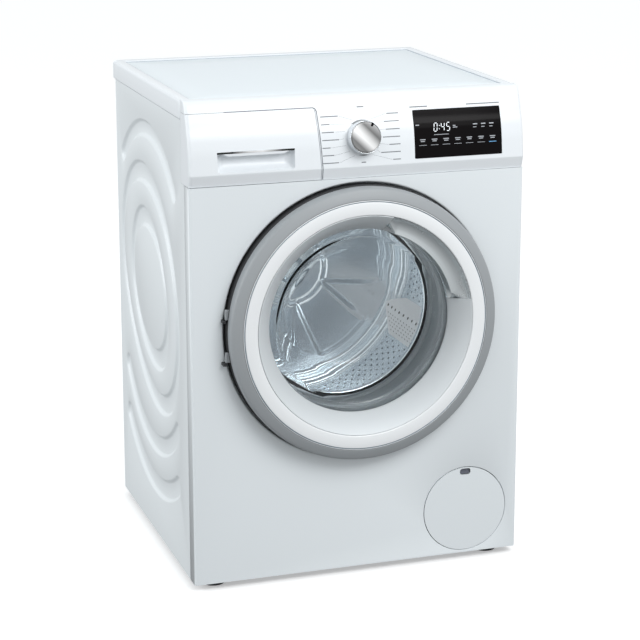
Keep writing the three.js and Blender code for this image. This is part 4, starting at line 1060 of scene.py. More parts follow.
for k in range(3):
    SCREEN_BARS += [(205 + k * 15, 213 + k * 15, 788, 1.8), (205 + k * 15, 211 + k * 15, 783, 1.2)]
dim += [stroke(x0, z, x1, z, width) for x0, x1, z, width in SCREEN_BARS]
piece("touch_marks", *merge(*dim), screen_dim, "cabinet", [], 30)
lit = stroke(TOUCH_X[6] - 6.8, 757.0, TOUCH_X[6] + 6.8, 757.0, 0.9)
piece("touch_line_lit", *lit, screen_blue, "cabinet", [], 30)
print("display marks", len(bright) + len(dim))

# %% [markdown]
# The knob is a turned cap with a brushed face and a bright skirt. The face's highlight is painted on: a
# bright streak across it, darker on both sides. It sits square to the leaning panel, so its profiles are
# turned about the panel's own normal. A small black nub is its pointer.
# %% Knob
def knob_at(x, y, z):
    c, s = math.cos(LEAN), math.sin(LEAN)
    return at(KNOB_X + x, KNOB_Y + y * c + z * s, KNOB_Z - y * s + z * c)


def turn_knob(profile, steps=128, closed=False):
    return turn(profile, 0, 0, steps, closed, place=knob_at)


skirt = rounded([(26.2, -16.6, 0), (27.0, -17.2, 0.4), (27.7, -15.8, 0.6), (28.6, -2.2, 0.8),
                 (27.6, -0.6, 0.6), (25.5, -0.6, 0)], 1, 4, closed=False)
piece("knob_skirt", *turn_knob([tuple(p) for p in skirt] + [(26.0, -14.0)], closed=True), chrome,
      "program_knob", ["program_knob"], 34, slot="silver")
# The cap's face carries the painted highlight streak.
cap = rounded([(0, -18.1, 0), (24.6, -17.8, 1.0), (26.0, -16.7, 0.6), (26.0, -14.0, 0)], 1, 4, closed=False)
piece("knob_cap", *turn_knob([tuple(p) for p in cap] + [(0, -14.0)]), knob_painted_highlight, "program_knob", [], 34,
      slot="silver")
hub = [(5.4, -14.0), (5.4, 11.0), (0, 11.0)]
piece("knob_shaft", *turn_knob([(0, -13.9)] + hub, 32), grey_plastic, "program_knob", [], 34)
piece("knob_well", *turn_knob([(24.0, 1.6), (30.4, 1.6), (30.4, 3.2), (24.0, 3.2)], 96, True), grey_plastic,
      "cabinet", [], 34)
POINTS_TO = math.radians(30)
out_way = Vector((math.sin(POINTS_TO), math.cos(POINTS_TO)))
side_way = Vector((out_way.y, -out_way.x))
nub = []
for r, half, y in ((20.5, 1.0, -17.8), (21.5, 1.7, -18.9), (26.6, 2.2, -18.9), (27.4, 2.0, -16.8)):
    loop = []
    for across, depth in ((-half, -16.5), (-half, y), (half, y), (half, -16.5)):
        spot = out_way * r + side_way * across
        loop.append(knob_at(spot.x, depth, spot.y))
    nub.append(loop)
pointer = piece("knob_pointer", *loft(nub, True, True), black_gloss, "program_knob", [], 30)
soften(pointer, 0.4, 2)
print("knob pointer", len(pointer.data.polygons))

# %% [markdown]
# The print is thin flat bars that stand a hair above the moulding. On each side of the knob seven
# leader lines run to seven bars of different lengths. The drawer's edge is a dark line of the same
# kind. It is cut into short pieces, so that it follows the panel's curve.
# %% Settings round the knob
LABEL_TOP, LABEL_STEP, LABEL_LEFT, LABEL_RIGHT = 813.0, 12.7, -67.0, 71.5
LEFT_WIDTHS = (31.0, 15.0, 21.5, 30.0, 14.0, 20.0, 28.0)
RIGHT_WIDTHS = (21.0, 27.0, 25.0, 31.0, 20.0, 35.0, 14.0)
DIAL_R = 33.0
print_parts = []
for k, (left, right) in enumerate(zip(LEFT_WIDTHS, RIGHT_WIDTHS)):
    z = LABEL_TOP - k * LABEL_STEP
    a = math.radians(28 + k * 20.6)
    for side, inner, outer in ((-1, LABEL_LEFT + left, LABEL_LEFT),
                               (1, LABEL_RIGHT - right, LABEL_RIGHT)):
        print_parts.append(stroke(inner, z, outer, z, 1.5, 0.08))
        foot_x, foot_z = KNOB_X + side * math.sin(a) * DIAL_R, KNOB_Z + math.cos(a) * DIAL_R
        print_parts.append(stroke(foot_x, foot_z, inner - side * 1.5, z, 0.3, 0.08))
SHORT_BARS = ((-1.0, 11.0, 826.0), (1.0, 9.0, 735.0), (93.0, 125.0, 821.0), (196.0, 257.0, 821.0))
for x0, x1, z in SHORT_BARS:
    print_parts.append(stroke(x0, z, x1, z, 1.7, 0.08))
DRAWER_SEAM = [(-297.0, 828.4), (-79.0, 828.4), (-75.2, 827.2), (-72.6, 822.5), (-66.4, 709.2)]
seam_parts = []
for (x0, z0), (x1, z1) in zip(DRAWER_SEAM, DRAWER_SEAM[1:]):
    steps = 60 if abs(z1 - z0) > 20 else 3
    cuts = [(x0 + (x1 - x0) * k / steps, z0 + (z1 - z0) * k / steps) for k in range(steps + 1)]
    seam_parts += [stroke(*a, *b, 1.3, 0.2) for a, b in zip(cuts, cuts[1:])]
piece("drawer_seam", *merge(*seam_parts), seam_grey, "cabinet", [], 30)
piece("panel_print", *merge(*print_parts), print_grey, "cabinet", [], 30)
print("printed marks", len(print_parts))

# %% [markdown]
# The door is turned rings round a bowl. From the outside in: a grey ring that wraps over the rim, with a
# black band painted round its back edge as the shade in the gap to the front sheet, two fine trim lines, a
# white ring, a silver cone that leads down to the glass, and the bowl. Each ring is a closed profile turned
# about the door's axis, with its corners rounded.
# %% Door rings
RING_STEPS = 192


def ring(name, profile, material, nodes=(), body="door", radius=1.0, slot=None):
    line = [(p.x, p.y) for p in rounded(profile, radius, 4)]
    return piece(name, *turn(line, steps=RING_STEPS), material, body, nodes, 30, slot=slot)


outer = ring("outer_ring",
             [(238.5, 9.8, 1), (238.5, -29.0, 4.5), (236.0, -33.0, 2.5), (226.5, -36.8, 6),
              (219.0, -38.9, 0.7), (218.2, -35.0, 0.5), (232.5, -29.0, 2), (235.3, 9.8, 1)],
             ring_grey, ["door_outer_ring"], slot="grey_plastic")
# Painted shadow: a black band round the grey ring's back edge, where the gap to the front sheet lies in
# shade.
ring("side_band", [(239.4, -13.0, 0.3), (239.4, 9.4, 0.3), (238.3, 9.4, 0.3), (238.3, -13.0, 0.3)],
     black_plastic, radius=0.3)
ring("trim_white", [(218.3, -38.4, 0.4), (217.2, -39.3, 0.4), (216.9, -35.5, 0.3), (218.1, -35.5, 0.3)],
     ring_white)
ring("trim_blue", [(216.8, -38.2, 0.3), (215.6, -38.2, 0.3), (215.6, -35.5, 0.2), (216.8, -35.5, 0.2)],
     trim_blue)
ring("face_ring",
     [(215.5, -36.0, 1), (215.3, -39.2, 1.0), (204, -40, 8), (193.6, -39.2, 1.2), (192.6, -36.5, 0.8),
      (196, -34.5, 0.5), (214, -34.5, 0.5)],
     ring_white, ["door_face_ring"], slot="white_plastic")
print("outer ring", len(outer.data.polygons))

# %% [markdown]
# The cone is open between one and nearly three o'clock. There the grip is set in: a scoop that
# dips behind the white ring and rises to a lip. Its two ends grow out of the cone as flat facets.
# Its first and last slices follow the cone's line and those between follow the scoop's, and both
# lines have equally many points, so one loft joins them.
# %% Cone and grip
GRIP_FROM, GRIP_TO, FACET, GRIP_STEPS = 14.0, 80.0, 5.0, 56
cone_line = [(192.4, -37.8), (191.6, -38.4), (190.2, -37.4), (162.6, -1.2), (162.0, 0.6), (162.0, 3.0),
             (166.0, 3.0), (192.0, -33.0)]
piece("silver_cone", *turn(cone_line, steps=150, span=(GRIP_TO, GRIP_FROM + 360)), silver_lacquer, "door",
      ["door_inner_cone"], 30, slot="silver")
SCOOP = [(192.4, -37.8), (191.2, -36.8), (190.0, -32.5), (187.2, -28.0), (182.5, -25.2), (176.5, -24.0),
         (170.5, -24.2), (165.8, -25.0), (163.8, -25.2), (162.9, -24.2), (163.2, -22.6), (165.5, -21.2),
         (172.0, -20.2), (179.0, -19.8), (185.0, -20.6), (186.4, -16.0), (186.8, -6.0), (184.0, -2.2),
         (174.0, -1.4), (162.6, -1.2), (162.0, 0.6), (162.0, 3.0), (188.5, 3.0), (190.6, -6.0),
         (192.2, -30.0)]
FLAT = [(192.4 - 29.8 * k / 19, -37.8 + 36.6 * k / 19) for k in range(20)]
FLAT += [(162.0, 0.6), (162.0, 3.0), (164.0, 3.0), (166.0, 1.0), (191.2, -34.0)]


def grip_slices():
    inner = GRIP_TO - GRIP_FROM - 2 * FACET
    angles = [GRIP_FROM + 0.15]
    angles += [GRIP_FROM + FACET + inner * k / GRIP_STEPS for k in range(GRIP_STEPS + 1)]
    angles += [GRIP_TO - 0.15]
    loops = []
    for number, angle in enumerate(angles):
        shape = FLAT if number in (0, len(angles) - 1) else SCOOP
        a = math.radians(angle)
        loops.append([at(r * math.sin(a), y, DOOR_Z + r * math.cos(a)) for r, y in shape])
    return loft(loops, True, True)


grip = piece("grip_scoop", *grip_slices(), grip_lacquer, "door", ["door_grip"], 26, slot="silver")
print("grip", len(grip.data.polygons))

# %% [markdown]
# The bowl reaches into the drum's mouth, to hold the washing back. It is one wall, drawn down its
# inside and back along its outside. The back frame closes the door behind, and a black seat holds
# the bowl's rim.
# %% Bowl and back frame
bowl = rounded([(0, 95.2, 0), (92, 94.6, 16), (108, 86, 16), (136, 30, 26), (149, 8.2, 4),
                (174.5, 7.4, 0.6), (174.5, 3.4, 0.6), (151, 3.4, 6), (144.0, 8.0, 6), (132, 29, 26),
                (104, 82.5, 16), (90, 90.6, 14), (0, 91.2, 0)], 4, 10, closed=False)
piece("glass_bowl", *turn([tuple(p) for p in bowl], steps=RING_STEPS, closed=False), clear_glass, "door",
      ["door_glass"], 40, slot="clear_glass")
ring("back_frame", [(176, 8.2, 1), (176, 15, 1.5), (234.8, 15, 1.5), (234.8, 11, 1), (180, 8.0, 1)],
     grey_plastic, ["door_back_frame"], slot="grey_plastic")
ring("bowl_seat", [(163.5, 3.2, 0.8), (163.5, 7.6, 0.8), (176.2, 7.8, 0.8), (190, 7.8, 0.5),
                   (190, 4.2, 0.5), (175.5, 3.1, 0.4)], black_plastic)
print("bowl profile", len(bowl))

# %% [markdown]
# The bellows is one rubber sleeve with deep folds. It is fixed to the sheet's collar in front and to the tub
# behind. Here it is one still shape that rides on no body, so it does not bend when the tub moves on its
# springs. A thin black ring inside the tub's mouth is painted shade: it makes the dark line between the
# sleeve and the drum.
# %% Bellows
bellows_line = rounded([
    (159.5, 18.6, 1.2), (186, 17.8, 1), (186, 21.2, 0.5), (177.2, 21.4, 0.5), (177.2, 26, 2),
    (184, 36, 3.5), (176, 48, 4), (184, 60, 4), (172, 67, 3), (172, 84, 1), (166.0, 84, 1), (164.0, 60, 4),
    (163.5, 47, 1.5), (168.5, 44, 1.5), (168.5, 42, 1.5), (162.8, 39, 1.5), (168.0, 35.5, 1.5),
    (168.0, 33.5, 1.5), (162.0, 30.5, 1.5), (166.5, 27.0, 1.2), (166.5, 25.5, 1.2), (159.5, 22.5, 1.0)], 2, 6)
bellows = piece("bellows", *turn([tuple(p) for p in bellows_line]), rubber, None, ["door_gasket"], 50,
                slot="rubber")
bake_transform(bellows)

# Painted shade: a thin black ring inside the tub's mouth makes the dark line between the sleeve and the drum.
ring("mouth_seal", [(155.2, 92.4, 0.5), (160.4, 92.4, 0.5), (160.4, 94.4, 0.4), (155.2, 94.4, 0.5)],
     black_plastic, body="tub", radius=0.4)
print("bellows", len(bellows.data.polygons))

# %% [markdown]
# The drum is bright steel: a turned front with a rolled mouth, a wall, and a shallow dished back
# with six petals pressed into it. The back is a round grid of points, and a rule gives each its
# height, because a turned profile can't make the petals. A small turned cap covers the hub.
# %% Drum
DRUM_R, MOUTH_R = 238.0, 155.0
drum_line = rounded([
    (MOUTH_R - 0.5, 105, 1.5), (MOUTH_R - 0.5, 98, 3), (161, 96.2, 4), (225, 98.5, 8), (DRUM_R, 113, 10),
    (DRUM_R, 395.6, 3), (200, 395.6, 4), (200, 393.6, 1), (205, 389.0, 3), (211, 389.0, 3), (215, 392.0, 3),
    (222, 392.0, 6), (229, 386, 4), (233, 386, 3), (236.6, 378, 8), (236.6, 114, 10), (224, 101, 8),
    (163, 98.8, 3), (MOUTH_R + 1.5, 101, 2), (MOUTH_R + 1.5, 105, 0.5)], 2, 5)
piece("drum_shell", *turn([tuple(p) for p in drum_line], steps=RING_STEPS), drum_steel, "drum", ["drum"], 34,
      slot="steel")
BACK_RINGS, BACK_SPOKES, BACK_FROM, BACK_TO = 72, 240, 20, 201
PETAL_EVERY, PETAL_CLOCK, PETAL_RISE, PETAL_EDGE = 60.0, 84.0, 6.5, 13.0
PETAL_FROM, PETAL_TO = 70, 176


def petal_height(r, clock):
    """How far the drum's back stands forward: six rounded petals pressed into a shallow dish."""
    near = (clock - PETAL_CLOCK + PETAL_EVERY / 2) % PETAL_EVERY - PETAL_EVERY / 2
    across = math.radians(near) * r
    half = 14 + 0.20 * r
    along = max(PETAL_FROM - r, r - PETAL_TO, 0.0)
    beside = max(abs(across) - half, 0.0)
    edge = min(math.hypot(along, beside) / PETAL_EDGE, 1.0)
    return PETAL_RISE * (1 - smooth_step(edge))


back_loops = []
for i in range(BACK_RINGS + 1):
    r = BACK_FROM + (BACK_TO - BACK_FROM) * i / BACK_RINGS
    dish = 393.6 - 5.0 * (1 - smooth_step(min(r / 170, 1)))
    loop = []
    for k in range(BACK_SPOKES):
        clock = 360 * k / BACK_SPOKES
        a = math.radians(clock)
        loop.append(at(r * math.sin(a), dish - petal_height(r, clock), DOOR_Z + r * math.cos(a)))
    back_loops.append(loop)
back = piece("drum_back", *loft(back_loops), back_steel, "drum", [], 60, Vector((0, -1, 0)), "steel")
thicken(back, 0.8)
hub_line = rounded([(0, 380.8, 0), (19, 380.8, 3), (24, 385, 3), (27, 387.6, 1), (27, 389.5, 0)], 2, 5,
                   closed=False)
piece("hub_cover", *turn([tuple(p) for p in hub_line] + [(0, 389.5)], steps=64, closed=False), stainless,
      "drum", [], 34)
print("drum back", len(back.data.polygons))


# %% [markdown]
# The wall is full of small holes, each in a pressed eyelet. A node tree makes them: points in a
# flat grid are rolled into a cylinder, each keeps the direction to the axis as its facing, and an
# eyelet is copied onto each. A second tree, which copies a shape onto points that already have
# their places, shares the copying part.
# %% Drum wall holes
def socket(group, name):
    for item in group.interface.items_tree:
        if item.item_type == "SOCKET" and item.in_out == "INPUT" and item.name == name:
            return item.identifier


def eyelet_mesh(name, radius, rise):
    """One eyelet, facing +Z."""
    profile = [(0.0, rise * 0.3), (radius * 0.55, rise * 0.3), (radius * 0.72, rise), (radius, 0.0)]
    steps = 8
    mesh = bpy.data.meshes.new(name)
    verts = [Vector((0, 0, profile[0][1]))]
    faces = []
    for r, h in profile[1:]:
        for k in range(steps):
            a = 2 * math.pi * k / steps
            verts.append(Vector((r * math.cos(a), r * math.sin(a), h)))
    for k in range(steps):
        faces.append((0, 1 + k, 1 + (k + 1) % steps))
    for row in range(len(profile) - 2):
        for k in range(steps):
            a = 1 + row * steps + k
            b = 1 + row * steps + (k + 1) % steps
            faces.append((a, a + steps, b + steps, b))
    mesh.from_pydata([v * MM for v in verts], [], faces)
    return mesh


def new_tree(name, inputs=()):
    """A geometry tree with a shape to copy, its finish, and any more inputs by label and kind."""
    group = bpy.data.node_groups.new(name, "GeometryNodeTree")
    group.interface.new_socket("Geometry", in_out="INPUT", socket_type="NodeSocketGeometry")
    for label, kind in (("Shape", "NodeSocketObject"), ("Finish", "NodeSocketMaterial"), *inputs):
        group.interface.new_socket(label, in_out="INPUT", socket_type=kind)
    group.interface.new_socket("Geometry", in_out="OUTPUT", socket_type="NodeSocketGeometry")
    return group, group.nodes.new("NodeGroupInput"), group.nodes.new("NodeGroupOutput")


def copy_onto(group, source, sink, points):
    """Copies the shape onto the points, each turned the way that its own arrow says."""
    nodes, links = group.nodes, group.links
    facing = nodes.new("GeometryNodeInputNamedAttribute")
    facing.data_type = "FLOAT_VECTOR"
    facing.inputs["Name"].default_value = "facing"
    align = nodes.new("FunctionNodeAlignEulerToVector")
    align.axis = "Z"
    shape = nodes.new("GeometryNodeObjectInfo")
    copies = nodes.new("GeometryNodeInstanceOnPoints")
    real = nodes.new("GeometryNodeRealizeInstances")
    coat = nodes.new("GeometryNodeSetMaterial")
    links.new(facing.outputs["Attribute"], align.inputs["Vector"])
    links.new(source.outputs["Shape"], shape.inputs["Object"])
    links.new(points, copies.inputs["Points"])
    links.new(shape.outputs["Geometry"], copies.inputs["Instance"])
    links.new(align.outputs[0], copies.inputs["Rotation"])
    links.new(copies.outputs[0], real.inputs[0])
    links.new(real.outputs[0], coat.inputs["Geometry"])
    links.new(source.outputs["Finish"], coat.inputs["Material"])
    links.new(coat.outputs[0], sink.inputs["Geometry"])


def roll_tree():
    """Rolls a grid of points into a cylinder about the Y axis and puts an eyelet on each."""
    group, source, sink = new_tree("rolled_eyelets", (("Radius", "NodeSocketFloat"),
                                                      ("Axis Height", "NodeSocketFloat")))
    nodes, links = group.nodes, group.links
    place = nodes.new("GeometryNodeInputPosition")
    parts = nodes.new("ShaderNodeSeparateXYZ")
    links.new(place.outputs[0], parts.inputs[0])
    waves = {}
    for wave in ("SINE", "COSINE"):
        node = nodes.new("ShaderNodeMath")
        node.operation = wave
        links.new(parts.outputs["X"], node.inputs[0])
        waves[wave] = node
    inward = nodes.new("ShaderNodeCombineXYZ")
    links.new(waves["SINE"].outputs[0], inward.inputs["X"])
    links.new(waves["COSINE"].outputs[0], inward.inputs["Z"])
    reach = nodes.new("ShaderNodeVectorMath")
    reach.operation = "SCALE"
    links.new(inward.outputs[0], reach.inputs[0])
    links.new(source.outputs["Radius"], reach.inputs["Scale"])
    raise_it = nodes.new("ShaderNodeCombineXYZ")
    links.new(parts.outputs["Y"], raise_it.inputs["Y"])
    links.new(source.outputs["Axis Height"], raise_it.inputs["Z"])
    total = nodes.new("ShaderNodeVectorMath")
    total.operation = "ADD"
    links.new(reach.outputs[0], total.inputs[0])
    links.new(raise_it.outputs[0], total.inputs[1])
    back = nodes.new("ShaderNodeVectorMath")
    back.operation = "SCALE"
    back.inputs["Scale"].default_value = -1
    links.new(inward.outputs[0], back.inputs[0])
    store = nodes.new("GeometryNodeStoreNamedAttribute")
    store.data_type = "FLOAT_VECTOR"
    store.domain = "POINT"
    store.inputs["Name"].default_value = "facing"
    links.new(source.outputs["Geometry"], store.inputs["Geometry"])
    links.new(back.outputs[0], store.inputs["Value"])
    move = nodes.new("GeometryNodeSetPosition")
    links.new(store.outputs[0], move.inputs["Geometry"])
    links.new(total.outputs[0], move.inputs["Position"])
    copy_onto(group, source, sink, move.outputs[0])
    return group


ROLL = roll_tree()


def spread(name, points, tree, shape, material, body, arrows=None, **sizes):
    """Runs a node tree over loose points and keeps the result as a plain mesh."""
    mesh = bpy.data.meshes.new(name)
    mesh.from_pydata([tuple(p) for p in points], [], [])
    if arrows:
        facing = mesh.attributes.new("facing", "FLOAT_VECTOR", "POINT")
        facing.data.foreach_set("vector", [c for arrow in arrows for c in arrow])
    item = bpy.data.objects.new(name, mesh)
    bpy.context.scene.collection.objects.link(item)
    run = item.modifiers.new("tree", "NODES")
    run.node_group = tree
    for label, value in {"Shape": shape, "Finish": material, **sizes}.items():
        run[socket(tree, label.replace("_", " "))] = value
    bpy.context.view_layer.update()
    graph = bpy.context.evaluated_depsgraph_get()
    made = bpy.data.meshes.new_from_object(item.evaluated_get(graph))
    item.modifiers.remove(run)
    item.data = made
    bpy.data.meshes.remove(mesh)
    made.name = name
    made.polygons.foreach_set("use_smooth", [True] * len(made.polygons))
    made.set_sharp_from_angle(angle=math.radians(50))
    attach(item, body)
    return item


def stamp(name, mesh):
    """An object for a node tree to copy. It is taken away once the copies are made."""
    item = bpy.data.objects.new(name, mesh)
    bpy.context.scene.collection.objects.link(item)
    return item


PADDLE_CLOCKS = (116, 236, 356)


def clear_of_paddles(angle, margin):
    return all(abs((math.degrees(angle) - clock + 180) % 360 - 180) > margin for clock in PADDLE_CLOCKS)


eyelet = stamp("eyelet", eyelet_mesh("eyelet", 2.6, 0.5))
dark_dot = stamp("dark_dot", eyelet_mesh("dark_dot", 1.5, 0.1))
ROWS, AROUND, ROW_FROM, ROW_STEP, PADDLE_SHARE = 17, 96, 128, 15.2, 10.6
hole_points = []
for row in range(ROWS):
    for k in range(AROUND):
        angle = 2 * math.pi * (k + 0.5 * (row % 2)) / AROUND
        if clear_of_paddles(angle, PADDLE_SHARE):
            hole_points.append((angle, FRONT + (ROW_FROM + row * ROW_STEP) * MM, 0))
for name, shape, sunk, material in (("wall_eyelets", eyelet, 1.4, stainless),
                                    ("wall_holes", dark_dot, 1.66, hole_dark)):
    spread(name, hole_points, ROLL, shape, material, "drum", Radius=(DRUM_R - sunk) * MM,
           Axis_Height=DOOR_Z * MM)
    bpy.data.objects.remove(shape)
print("drum wall holes", len(hole_points))

# %% [markdown]
# Three paddles lift the washing. Each is a moulding with a rounded crest and one long, sloping
# flank. It is lofted from slices along the drum, then turned to its place on the wall.
# %% Paddles
def paddle_point(clock, across, y, height):
    """height is measured inwards from the drum wall."""
    a = math.radians(clock)
    r = DRUM_R - 1.8 - height
    out_way = Vector((math.sin(a), math.cos(a)))
    side_way = Vector((out_way.y, -out_way.x))
    spot = out_way * r + side_way * across
    return at(spot.x, y, DOOR_Z + spot.y)


PADDLE_SECTION = [(-39, 0, 0.5), (-37, 3, 3), (-25, 32, 10), (-17, 41, 5), (-10, 41, 5), (40, 3, 3),
                  (42, 0, 0.5)]
PADDLE_SLICES = ((119, 0.70), (121, 0.84), (126, 0.95), (134, 1.0), (360, 1.0), (369, 0.96), (375, 0.86),
                 (377, 0.72))


def paddle(clock, label):
    loops = []
    for y, grow in PADDLE_SLICES:
        section = rounded([(x * (0.9 + 0.1 * grow), h * grow, size) for x, h, size in PADDLE_SECTION], 4, 5)
        loops.append([paddle_point(clock, p.x, y, p.y) for p in section])
    piece("paddle_" + label, *loft(loops, True, True), paddle_grey, "drum", ["drum_paddle_" + label], 60,
          slot="tub_plastic")


print("paddle slices", len(PADDLE_SLICES))


# %% [markdown]
# Water runs off through a grid of small holes in each paddle's flank and a row of larger ones on
# its crest. The second tree copies dark dots there, each facing out of its own surface.
# %% Paddle holes
def facing_tree():
    """Copies a shape onto points that already have their places."""
    group, source, sink = new_tree("facing_dots")
    copy_onto(group, source, sink, source.outputs["Geometry"])
    return group


FACING = facing_tree()
GRID_ROWS, GRID_LONG, CREST_LONG = 5, 16, 11


def paddle_spots(clock):
    """Places and arrows for the grid of holes in the paddle's lower flank and the row on its crest."""
    crest, foot = (Vector(p[:2]) for p in PADDLE_SECTION[4:6])
    slope = (foot - crest).normalized()
    lift = Vector((-slope.y, slope.x))
    if lift.y < 0:
        lift = -lift
    centre = paddle_point(clock, 0, 200, 0)
    arrow = paddle_point(clock, lift.x, 200, lift.y) - centre
    spots = []
    for row in range(GRID_ROWS):
        for k in range(GRID_LONG):
            spot = crest + slope * (12 + row * 9.2) + lift * 0.25
            spots.append((paddle_point(clock, spot.x, 142 + k * 14.0, spot.y), arrow))
    up = paddle_point(clock, 0, 200, 1) - centre
    row_spots = []
    for k in range(CREST_LONG):
        row_spots.append((paddle_point(clock, -13.5, 140 + k * 21, 41.2), up))
    return spots, row_spots


small_dot = stamp("small_dot", eyelet_mesh("small_dot", 1.5, 0.3))
slot_dot = stamp("slot_dot", eyelet_mesh("slot_dot", 2.8, 0.4))
for number, clock in enumerate(PADDLE_CLOCKS, 1):
    paddle(clock, str(number))
    grid, row = paddle_spots(clock)
    for kind, spots, dot in (("grid", grid, small_dot), ("row", row, slot_dot)):
        spread(f"paddle_{kind}_{number}", [p for p, _ in spots], FACING, dot, hole_dark, "drum",
               [arrow for _, arrow in spots])
for item in (small_dot, slot_dot):
    bpy.data.objects.remove(item)
print("paddles", len(PADDLE_CLOCKS))

# %% [markdown]
# The back is plain zinc sheet, so its detail is what stiffens and holds it: long pressed beads,
# shorter ones across the round cover, a block of louvres, and screws round both edges. A bead is a
# half-round ridge that sinks into the sheet at its ends. The screws are copied by the same node
# tree as the paddle's holes.
# %% Rear sheet
REAR_Y, COVER_Y = 531.6, 541.0
COVER_X, COVER_Z, COVER_RX, COVER_RZ = -10.0, 400.0, 205.0, 220.0
BEAD_ENDS = ((0.0, 0.05), (0.12, 0.55), (0.35, 0.88), (0.7, 1.0))


def bead(x0, z0, x1, z1, width, rise, y):
    """A half-round ridge between two points of the rear sheet."""
    start, way = Vector((x0, z0)), Vector((x1 - x0, z1 - z0))
    length = way.length
    way.normalize()
    across = Vector((-way.y, way.x))
    spots = [(t * width, grow) for t, grow in BEAD_ENDS]
    spots += [(length - t * width, grow) for t, grow in reversed(BEAD_ENDS)]
    loops = []
    for along, grow in spots:
        middle = start + way * along
        loop = []
        for k in range(13):
            a = math.pi * k / 12
            spot = middle + across * math.cos(a) * width * grow / 2
            loop.append(at(spot.x, y - 0.3 + math.sin(a) * rise * grow, spot.y))
        loops.append(loop)
    return loft(loops, True, True)


ridges = [bead(side * x, 185, side * x, 700, 12, 3.0, REAR_Y) for side in (-1, 1) for x in (236, 262)]
ridges += [bead(-215, z, 215, z, 12, 3.0, REAR_Y) for z in (60, 90, 124)]
for step in range(-4, 5):
    dz = step * 38
    reach = 0.80 * COVER_RX * math.sqrt(1 - (dz / COVER_RZ) ** 2)
    ridges.append(bead(COVER_X - reach, COVER_Z + dz, COVER_X + reach, COVER_Z + dz, 10, 2.6, COVER_Y))
for column in range(3):
    for row in range(7):
        x, z = -150 + column * 78, 680 + row * 13
        ridges.append(bead(x, z, x + 62, z, 6, 3.2, REAR_Y))
piece("rear_beads", *merge(*ridges), zinc, "cabinet", [], 40)
screw_places = [(x, z) for x in (-280, 280) for z in (40, 200, 360, 520, 680, 800)]
screw_places += [(x, z) for x in (-190, -60, 60, 190) for z in (30, 802)]
screw_spots = [at(x, REAR_Y, z) for x, z in screw_places]
for k in range(12):
    a = 2 * math.pi * (k + 0.5) / 12
    screw_spots.append(at(COVER_X + (COVER_RX - 9) * math.sin(a), REAR_Y + 1.9,
                          COVER_Z + (COVER_RZ - 9) * math.cos(a)))
screw_dot = stamp("screw_dot", eyelet_mesh("screw_dot", 5.2, 2.2))
spread("rear_screws", screw_spots, FACING, screw_dot, stainless, "cabinet",
       [Vector((0, 1, 0))] * len(screw_spots))
bpy.data.objects.remove(screw_dot)
print("rear", len(ridges), "beads", len(screw_spots), "screws")

# %% [markdown]
# The filter flap is a flat round lid. Through a slot near its top a coin reaches the catch behind.
# The lid's faces are shaded flat, because smooth shading would make it look domed.
# %% Filter flap
slot_line = round_box(FLAP_X - 10, FLAP_X + 10, 158.6, 170, 5.4, 6)
verts, faces = fill([circle(FLAP_X, FLAP_Z, FLAP_R - 0.5, 128), slot_line], lambda x, z: at(x, 0, z))
flap = piece("flap_lid", verts, faces, enamel, "filter_flap", ["filter_flap"], 30, Vector((0, -1, 0)),
             "white_plastic")
flap.data.polygons.foreach_set("use_smooth", [False] * len(flap.data.polygons))
thicken(flap, 2.5)
catch = merge(*(block(FLAP_X - 8.6, FLAP_X + 8.6, y0, y1, z0, z1)
                for y0, y1, z0, z1 in ((1.6, 3.2, 160.0, 164.4), (3.2, 4.4, 164.4, 168.6))))
piece("flap_catch", *catch, seam_grey, "filter_flap", [], 30)
print("flap", len(flap.data.polygons))

# %% [markdown]
# The four feet are threaded plastic cups on rubber pads.
# %% Feet
FEET = ("foot_front_left", "foot_front_right", "foot_rear_left", "foot_rear_right")
for number, body in enumerate(FEET, 1):
    low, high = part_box("foot_" + str(number))
    fx, fy = (low.x + high.x) / 2 / MM, ((low.y + high.y) / 2 - FRONT) / MM
    pad = rounded([(0, 0, 0), (20.5, 0, 1), (21.6, 2.5, 1.2), (21.6, 5.6, 1), (19.0, 6.4, 1), (17.5, 9.5, 1),
                   (17.5, 12.0, 0.8), (8, 12.2, 0.6)], 1, 4, closed=False)
    thread = [(5.8 if k % 2 else 6.6, 12.5 + k * 1.0) for k in range(33)]
    profile = [tuple(p) for p in pad] + thread + [(0, 46)]
    piece("foot_shape_" + str(number), *turn_up(profile, fx, fy, 40), black_plastic, body,
          ["foot_" + str(number)], 34, slot="black_plastic")
print("feet", len(FEET))

# %% [markdown]
# The hinge shows as two small grey knuckles in the gap at the door's left, each over a shelf painted near
# black as the shade under it. The knuckles, their lugs and the plate that joins them turn with the door. The
# bracket with its two shelves, painted dark as shade, stays on the cabinet.
# %% Hinge
KNUCKLES_Z = (492.0, 418.0)
HINGE_X, HINGE_Y = -244.0, -10.0
for number, z in enumerate(KNUCKLES_Z, 1):
    barrel = rounded([(0, z - 9, 0), (2.4, z - 9, 1), (2.9, z - 6, 1), (2.9, z + 6, 1), (2.4, z + 9, 1),
                      (0, z + 9, 0)], 1, 4, closed=False)
    knuckle = turn_up([tuple(p) for p in barrel], HINGE_X + 4.2, HINGE_Y, 32)
    piece("hinge_knuckle_" + str(number), *knuckle, ring_grey, "door",
          ["door_hinge_arm"] if number == 1 else [], 34, slot="zinc")
    lug = block(HINGE_X + 4, -219, HINGE_Y - 2.5, HINGE_Y + 2.5, z - 8.6, z + 8.6)
    lug = piece("hinge_lug_" + str(number), *lug, ring_grey, "door", [], 30)
    soften(lug, 0.8, 2)
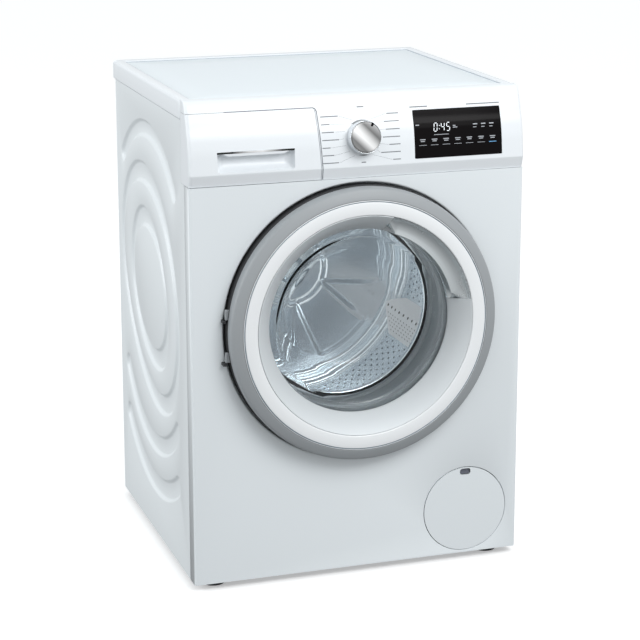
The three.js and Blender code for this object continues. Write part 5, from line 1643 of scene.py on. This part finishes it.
# The shelves are painted shade under the knuckles.
shelf = [block(-262, -257, 2, 30, 380, 520)]
for z in KNUCKLES_Z:
    shelf.append(block(-257.2, -246, 2.5, 9.5, z - 19, z - 10.5))
    shelf.append(block(-246.4, -240.4, -12.0, 9.5, z - 15, z - 9.6))
bracket = piece("hinge_shelf", *merge(*shelf), hinge_painted_shade, "cabinet", ["hinge_bracket"], 30, slot="zinc")
soften(bracket, 0.6, 2)
plate = piece("hinge_plate", *block(-221.6, -218, -14, 7, 396, 506), zinc, "door", [], 30)
soften(plate, 0.8, 2)
print("hinge knuckles", len(KNUCKLES_Z))

# %% [markdown]
# The inner pieces keep the frame's own shapes. They get finishes of their own: cast mineral for
# the weights, filled plastic for the tub, bare steel and alloy for what turns.
# %% Finishes of the inner pieces
FINISHES = {
    zinc: ["rear_panel", "rear_cover", "top_crossbar", "door_hook"],
    grey_plastic: ["base_tray", "control_module", "inlet_valve", "drain_pump", "pump_filter",
                   "damper_cylinder_left", "damper_cylinder_right"],
    black_plastic: ["cord_inlet", "door_lock"],
    tub_plastic: ["tub_front", "tub_rear", "dispenser_housing"],
    white_plastic: ["drawer_tray"],
    mineral: ["counterweight_front", "counterweight_top"],
    cast_alloy: ["motor", "drum_spider", "drum_pulley"],
    stainless: ["heater", "bearing_front", "bearing_rear", "motor_pulley", "damper_rod_left",
                "damper_rod_right"],
    spring_steel: ["spring_left", "spring_right"],
    belt_rubber: ["drive_belt", "sump_hose", "dispenser_hose"],
}
dressed = 0
for material, names in FINISHES.items():
    for name in names:
        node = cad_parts[name]
        node.data.materials.clear()
        node.data.materials.append(material)
        dressed += 1
print("inner pieces", dressed)

# %% [markdown]
# The floor is a pale sheet, wide enough to fade into the sky's white.
# %% Floor
sheet = finish("studio_floor", (0.90, 0.90, 0.90), 0.8, grain=(60, 0.01), amount=0.0, spread=0.0, glow=0.38)
floor_mesh = bpy.data.meshes.new("floor")
floor_mesh.from_pydata([(-9, -9, 0), (9, -9, 0), (9, 9, 0), (-9, 9, 0)], [], [(0, 1, 2, 3)])
floor = bpy.data.objects.new("floor", floor_mesh)
floor_mesh.materials.append(sheet)
floor.visible_glossy = False
floor.visible_diffuse = False
bpy.context.scene.collection.objects.link(floor)
print("floor", len(floor_mesh.polygons))
